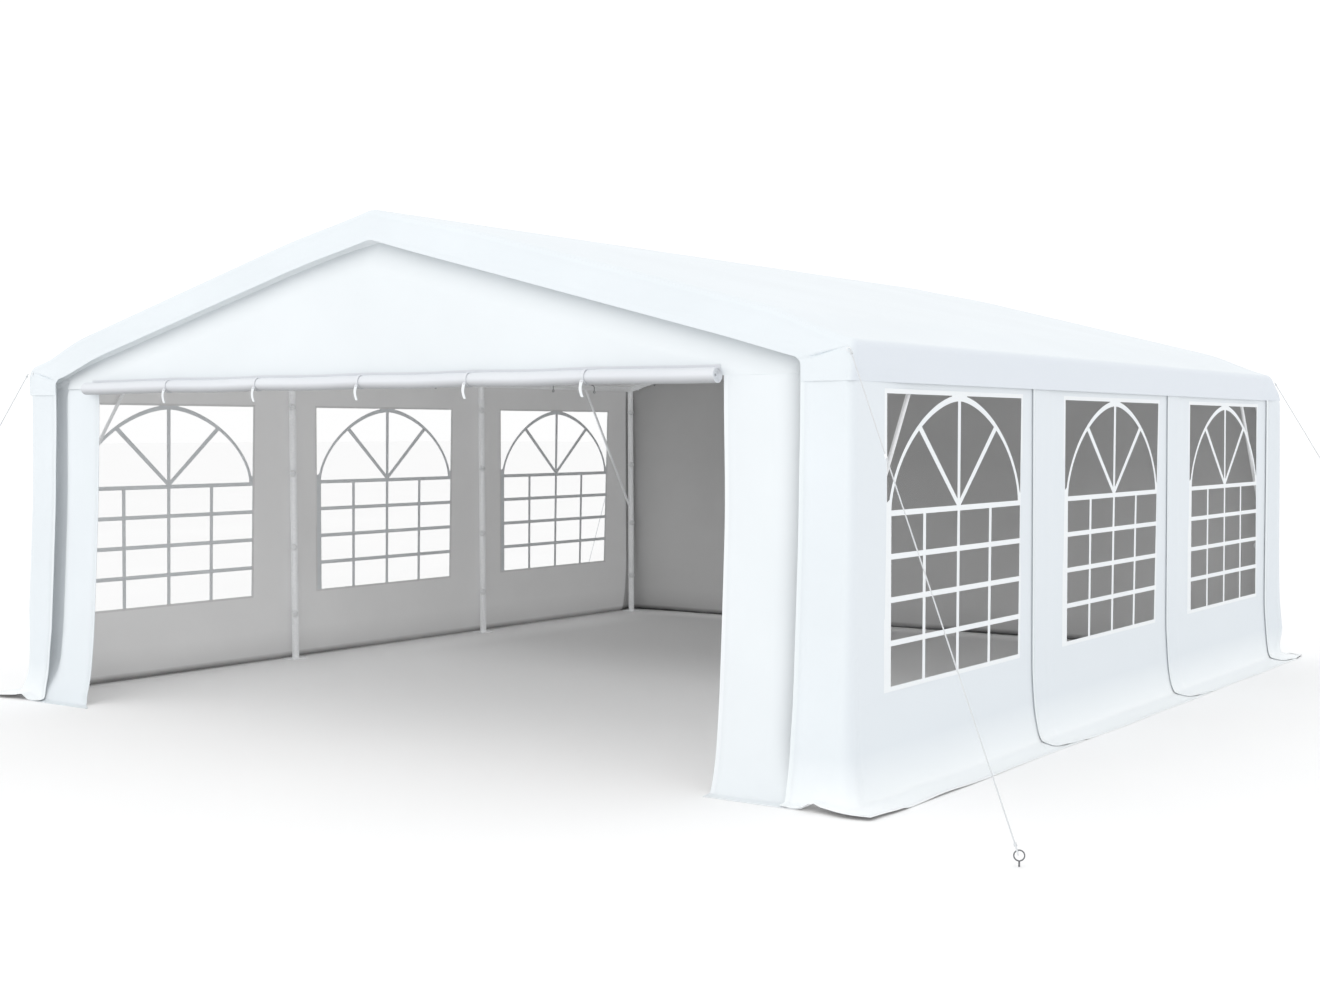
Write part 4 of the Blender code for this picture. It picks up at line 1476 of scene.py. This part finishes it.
def cord_mesh(name, points, radius, finish):
    """A round cord along a smooth curve through points, as a mesh."""
    settings = {"dimensions": "3D", "bevel_depth": radius, "bevel_resolution": 3}
    made = drawn(name, "NURBS", [points], resolution_u=4, use_fill_caps=True, **settings)
    settled(made, name, finish)
    edit(made, "VERT", lambda vertex: True)
    bpy.ops.mesh.remove_doubles(threshold=0.00002)
    leave_edit()
    made.data.shade_smooth()
    return made


def round_points(degrees, centre, first, second, radius):
    """Points round a centre, at these angles from the first way towards the second."""
    points = []
    for angle in degrees:
        turn = math.radians(angle)
        away = Vector(first) * math.cos(turn) + Vector(second) * math.sin(turn)
        points.append(Vector(centre) + away * radius)
    return points


def model_wall_tie():
    """A tie at the origin, on a post whose wall lies towards +X."""
    reach = POST_R + ELASTIC_R
    points = round_points(range(90, 271, 15), (0, 0, 0), (1, 0, 0), (0, 1, 0), reach)
    points = [(POST_R * 0.6, reach, 0), *points, (POST_R * 0.6, -reach, 0)]
    loop = cord_mesh("loop", points, ELASTIC_R, WHITE_PLASTIC)
    middle = -(reach + ELASTIC_R + BALL_R * 0.8)
    bpy.ops.mesh.primitive_uv_sphere_add(segments=24, ring_count=14, radius=BALL_R, location=(middle, 0, 0))
    ball = settled(bpy.context.object, "ball", WHITE_PLASTIC)
    edit(ball, "FACE", lambda face: face.normal.x < -0.97)
    bpy.ops.mesh.inset(thickness=0.001)
    bpy.ops.mesh.extrude_region_shrink_fatten(TRANSFORM_OT_shrink_fatten={"value": -0.003})
    leave_edit()
    ball.data.shade_smooth()
    return joined("wall_tie", [ball, loop])


tie_model = model_wall_tie()
for side, word in SIDES:
    for number, frame_y in enumerate(FRAMES_Y, 1):
        turn = -BALL_TURN if number == 1 else BALL_TURN
        turned = Matrix.Diagonal((side, 1, 1, 1)) @ Matrix.Rotation(turn, 4, "Z")
        parts = []
        for height in TIE_HEIGHTS:
            place = Matrix.Translation((side * HALF_FRAME, frame_y, height))
            parts.append(placed_copy(tie_model, "tie", place @ turned))
        hand_over(joined(f"wall_ties_{word}_{number}", parts), "white_sheet")
bpy.data.objects.remove(tie_model, do_unlink=True)

# Hooks: bent steel wire, hung over the eave rails and the rafters, two in each bay. Cords of the
# cover are caught on them, and lamps can hang there.
HOOK_WIRE_R = 0.0026
HOOK_R = 0.011
HOOK_AT = (0.546, 1.10)  # back from the end of each bay
HOOK_DROP = 0.022  # from the grip's end down to the middle of the eye
RAFTER_HOOK_X = 2.66


def dark_steel():
    """Steel wire with a thin black oxide skin: dull and dark, with a soft sheen where handled."""
    made, tree, shader = new_finish("blackened_steel", {"Metallic": 0.9})
    wear = mottled(tree, shader, "#66676A", "#8E9094", 0.35, 0.70, Scale=220.0, Detail=5.0)
    gloss = add_node(tree, "MapRange", {"Value": wear, 3: 0.32, 4: 0.55})
    tree.links.new(gloss.outputs["Result"], shader.inputs["Roughness"])
    return made


DARK_STEEL = dark_steel()


def model_hook():
    """An S hook round a tube along Y through the origin, hanging on its inner side, at -X."""
    grip = RAIL_R + HOOK_WIRE_R
    points = round_points(range(60, 211, 15), (0, 0, 0), (1, 0, 0), (0, 0, 1), grip)
    eye = points[-1] - Vector((HOOK_R * 0.2, 0, HOOK_DROP))
    points += round_points(range(150, -61, -15), eye, (1, 0, 0), (0, 0, -1), HOOK_R)
    return cord_mesh("hook", points, HOOK_WIRE_R, DARK_STEEL)


hook_model = model_hook()
for side, word in SIDES:
    parts = []
    for bay_end in FRAMES_Y[1:]:
        for back in HOOK_AT:
            place = Matrix.Translation((side * HALF_FRAME, bay_end - back, EAVE_Z))
            parts.append(placed_copy(hook_model, "hook", place @ Matrix.Diagonal((side, 1, 1, 1))))
    for frame_y in FRAMES_Y:
        place = Matrix.Translation((side * RAFTER_HOOK_X, frame_y, RIDGE_Z - SLOPE * RAFTER_HOOK_X))
        quarter_turn = Matrix.Rotation(math.radians(90 if frame_y > 0 else -90), 4, "Z")
        parts.append(placed_copy(hook_model, "hook", place @ quarter_turn))
    hand_over(joined(f"rail_hooks_{word}", parts), "dark_steel")
bpy.data.objects.remove(hook_model, do_unlink=True)

# Guy ropes: white three-strand polypropylene rope from an eyelet at each corner of the cover to
# its peg. It is taut, knotted at the eyelet, and knotted round the peg's ring.
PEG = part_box("ground_peg_front_right")
PEG_X = (PEG[0].x + PEG[1].x) / 2
PEG_Y = -(PEG[0].y + PEG[1].y) / 2
RING_R = 0.0207
RING_WIRE_R = 0.0028
RING_Z = PEG[1].z - RING_R - RING_WIRE_R
RING_TURN = 25  # degrees from the tent's width
ROPE_R = 0.0034
ROPE_TOP_Z = 2.02
ROPE_LAY = 0.045  # along the rope for one turn of its strands
STRANDS = 3
KNOT_WRAPS = 2
STRAND_R = ROPE_R / 2.15
KNOT_CORD_R = ROPE_R * 0.85
KNOT_R = ROPE_R * 1.35
# From the cover's outermost line to each eyelet, by side and end.
EYELET_IN = {(-1, -1): 0.058, (1, -1): 0.030, (-1, 1): 0.030, (1, 1): 0.030}
EYELET_LOOP = 0.030  # from the eyelet to the rope's upper end
RUNNER_AT = 0.238  # down the rope, as a share of its length
RUNNER_SIZE = (0.022, 0.011, 0.0085)
RUNNER_ROUND = 0.003


def rope_fibre():
    """Twisted polypropylene: off-white, with fine bright fibres along each strand."""
    made, tree, shader = new_finish("white_polypropylene_rope", {"Roughness": 0.7})
    fibres = mottled(tree, shader, "#D3D6D9", "#E0E3E5", 0.3, 0.7, Scale=900.0, Detail=3.0)
    bump = add_node(tree, "Bump", {"Height": fibres, "Strength": 0.3, "Distance": 0.0004})
    tree.links.new(bump.outputs["Normal"], shader.inputs["Normal"])
    return made


ROPE_FIBRE = rope_fibre()


def across_ways(along):
    """Two ways square to a line and to each other."""
    along = Vector(along).normalized()
    first = along.orthogonal().normalized()
    return first, along.cross(first)


def twisted_rope(start, end):
    """Three strands laid round each other between two points."""
    start, end = Vector(start), Vector(end)
    first, second = across_ways(end - start)
    length = (end - start).length
    steps = math.ceil(length / ROPE_LAY * 8)
    parts = []
    for strand in range(STRANDS):
        points = []
        for step in range(steps + 1):
            t = step / steps
            turn = 2 * math.pi * (t * length / ROPE_LAY + strand / STRANDS)
            off = (first * math.cos(turn) + second * math.sin(turn)) * (ROPE_R - STRAND_R)
            points.append(start.lerp(end, t) + off)
        settings = {"dimensions": "3D", "bevel_depth": STRAND_R, "bevel_resolution": 1}
        made = drawn("strand", "POLY", [points], use_fill_caps=True, **settings)
        parts.append(settled(made, "strand", ROPE_FIBRE))
        made.data.shade_smooth()
    return parts


def knot(centre, along):
    """A knot: a few turns of rope wound round the standing rope."""
    along = Vector(along).normalized()
    points = round_points(range(0, KNOT_WRAPS * 360 + 1, 36), centre, *across_ways(along), KNOT_R)
    for step, point in enumerate(points):
        point += along * ROPE_R * 1.7 * (step / 10 - KNOT_WRAPS / 2)
    return cord_mesh("knot", points, KNOT_CORD_R, ROPE_FIBRE)


def runner(centre, along):
    """The moulded bar on each rope, by which the rope is shortened."""
    first, second = across_ways(along)
    bpy.ops.mesh.primitive_cube_add(size=1)
    made = bpy.context.object
    made.scale = RUNNER_SIZE
    settled(made, "runner", WHITE_PLASTIC)
    applied(made, "BEVEL", width=RUNNER_ROUND, segments=3)
    turned = Matrix((along, first, second)).transposed().to_4x4()
    made.data.transform(Matrix.Translation(centre) @ turned)
    made.data.shade_smooth()
    return made


def ring_at(side, end):
    """The middle of a peg's ring, and the way along the ground in which the ring lies."""
    turn = math.radians(-side * end * RING_TURN)
    return Vector((side * PEG_X, end * PEG_Y, RING_Z)), Vector((math.cos(turn), math.sin(turn), 0))


def guy_rope(name, side, end):
    ring, level = ring_at(side, end)
    away = Vector((side, end, 0)).normalized()
    eyelet = pushed(Vector((side * (HALF - EYELET_IN[side, end]), end * (HALF + 0.001), ROPE_TOP_Z)))
    top = eyelet + away * EYELET_LOOP
    pull = (top - ring).normalized()
    seat = (level * pull.dot(level) + Vector((0, 0, pull.z))).normalized()
    bottom = ring + seat * (RING_R + RING_WIRE_R + ROPE_R * 2)
    side_way = level.cross(Vector((0, 0, 1)))
    parts = twisted_rope(bottom, top)
    parts += [knot(top - pull * 0.020, pull), knot(bottom + pull * 0.014, pull)]
    parts.append(runner(top.lerp(bottom, RUNNER_AT), pull))
    loop = round_points(range(0, 361, 30), ring + seat * RING_R, seat, side_way, RING_WIRE_R + ROPE_R)
    parts.append(cord_mesh("ring_loop", loop, KNOT_CORD_R, ROPE_FIBRE))
    tail = ((0.020, 0.0), (0.010, 0.014), (-0.004, 0.024), (-0.022, 0.028))  # along the rope, and aside
    tail = [bottom + pull * up + side_way * aside for up, aside in tail]
    parts.append(cord_mesh("tail", tail, KNOT_CORD_R, ROPE_FIBRE))
    hand_over(joined(name, parts), "white_rope", name)
    return eyelet, away


def eyelet_piece(name, place, away):
    """A moulded eyelet in the corner of the cover, with the loop of rope through it."""
    bpy.ops.mesh.primitive_torus_add(
        location=place + away * 0.004,
        rotation=away.to_track_quat("Z", "Y").to_euler(),
        major_radius=0.0085,
        minor_radius=0.0022,
        major_segments=28,
        minor_segments=10,
    )
    rim = settled(bpy.context.object, name, WHITE_PLASTIC)
    rim.data.shade_smooth()
    hand_over(rim, "white_sheet")


for end, end_word in ((-1, "front"), (1, "back")):
    for side, word in SIDES:
        place, away = guy_rope(f"guy_rope_{end_word}_{word}", side, end)
        eyelet_piece(f"corner_eyelet_{end_word}_{word}", place, away)

# Pegs: one length of steel rod each, its upper end bent round into a ring and closed. Only the
# ring and the top of the shank stand above the ground.
SHANK_R = 0.0036


def ground_peg(name, side, end):
    centre, level = ring_at(side, end)
    points = round_points(range(-80, 271, 10), centre, level, (0, 0, 1), RING_R)
    ring = cord_mesh(name, points, RING_WIRE_R, DARK_STEEL)
    foot = Vector((centre.x, centre.y, 0.0002))
    shank = pipe("shank", foot, foot + Vector((0, 0, RING_Z - RING_R + 0.001)), SHANK_R, DARK_STEEL, False)
    hand_over(joined(name, [ring, shank]), "dark_steel", name)


for end, end_word in ((-1, "front"), (1, "back")):
    for side, word in SIDES:
        ground_peg(f"ground_peg_{end_word}_{word}", side, end)

# Studio: a plain white floor that runs out of the picture, even white light from all round, and
# a large soft lamp in front. The camera stands to the right of the front at eye height.
FLOOR_SIZE = 400.0
FLOOR_PLACE = (0, 0, -0.0006)  # just under the sheets that lie out on the ground
PHOTO_WIDTH, PHOTO_HEIGHT = 1320, 1004
FOCAL_PIXELS = 1697.21
CENTRE_PIXEL = (802.02, 507.91)
SENSOR = 36.0
CAMERA_PLACE = (6.8207, -9.4033, 1.6615)
CAMERA_TURN = (math.pi / 2 - 0.04512, 0, 0.56867)
FLOOR_SHADE = "#E0E0E0"  # a painted shadow on the floor, under the rear of the tent
SHADE_ENDS = (("Y", -0.9, 1.2), ("Y", 3.0, 2.7), ("X", 2.9, 2.3))  # along, where it ends and is full


def white_floor():
    """Matt white studio paint: very pale and even, with a painted shadow under the rear of the tent."""
    made, tree, shader = new_finish("white_studio_floor", {"Roughness": 0.9, "Specular IOR Level": 0.0})
    place = add_node(tree, "TexCoord").outputs["Object"]
    cloud = add_node(tree, "TexNoise", {"Vector": place, "Scale": 0.5})
    tone = two_tones(tree, cloud.outputs["Fac"], 0.3, 0.7, "#FAFAFA", "#FCFCFC")
    along = add_node(tree, "SeparateXYZ", {0: place})
    width = add_node(tree, "Math", {0: along.outputs["X"]}, operation="ABSOLUTE").outputs[0]
    values = {"X": width, "Y": along.outputs["Y"]}
    part = 1.0
    for axis, ends, full in SHADE_ENDS:
        ramp = {"Value": values[axis], 1: ends, 2: full}
        share = add_node(tree, "MapRange", ramp, interpolation_type="SMOOTHSTEP").outputs[0]
        part = add_node(tree, "Math", {0: part, 1: share}, operation="MULTIPLY").outputs[0]
    tone = add_node(tree, "Mix", {0: part, 6: tone, 7: linear(FLOOR_SHADE)}, data_type="RGBA").outputs[2]
    tree.links.new(tone, shader.inputs["Base Color"])
    return made


bpy.ops.mesh.primitive_grid_add(x_subdivisions=4, y_subdivisions=4, size=FLOOR_SIZE, location=FLOOR_PLACE)
floor = settled(bpy.context.object, "studio_floor", white_floor())

world = bpy.data.worlds.new("studio_light")
world.use_nodes = True
backdrop = world.node_tree.nodes["Background"]
backdrop.inputs["Color"].default_value = WHITE
backdrop.inputs["Strength"].default_value = 1.1
bpy.context.scene.world = world


def softbox(name, place, target, width, height, power):
    """A lamp behind a white screen, turned to a target."""
    data = bpy.data.lights.new(name, "AREA")
    data.shape = "RECTANGLE"
    data.size, data.size_y = width, height
    data.energy = power
    made = bpy.data.objects.new(name, data)
    bpy.context.scene.collection.objects.link(made)
    made.location = place
    made.rotation_euler = (Vector(target) - Vector(place)).to_track_quat("-Z", "Y").to_euler()


softbox("front_softbox", (1.0, -13.0, 6.0), (0.5, -3.0, 1.4), 8.0, 5.0, 90.0)

camera_data = bpy.data.cameras.new("photo_view")
camera_data.sensor_width = SENSOR
camera_data.lens = FOCAL_PIXELS / PHOTO_WIDTH * SENSOR
camera_data.shift_x = (PHOTO_WIDTH / 2 - CENTRE_PIXEL[0]) / PHOTO_WIDTH
camera_data.shift_y = (CENTRE_PIXEL[1] - PHOTO_HEIGHT / 2) / PHOTO_WIDTH
camera = bpy.data.objects.new("photo_view", camera_data)
bpy.context.scene.collection.objects.link(camera)
camera.location = CAMERA_PLACE
camera.rotation_euler = CAMERA_TURN
bpy.context.scene.camera = camera
bpy.context.scene.view_settings.view_transform = "Standard"
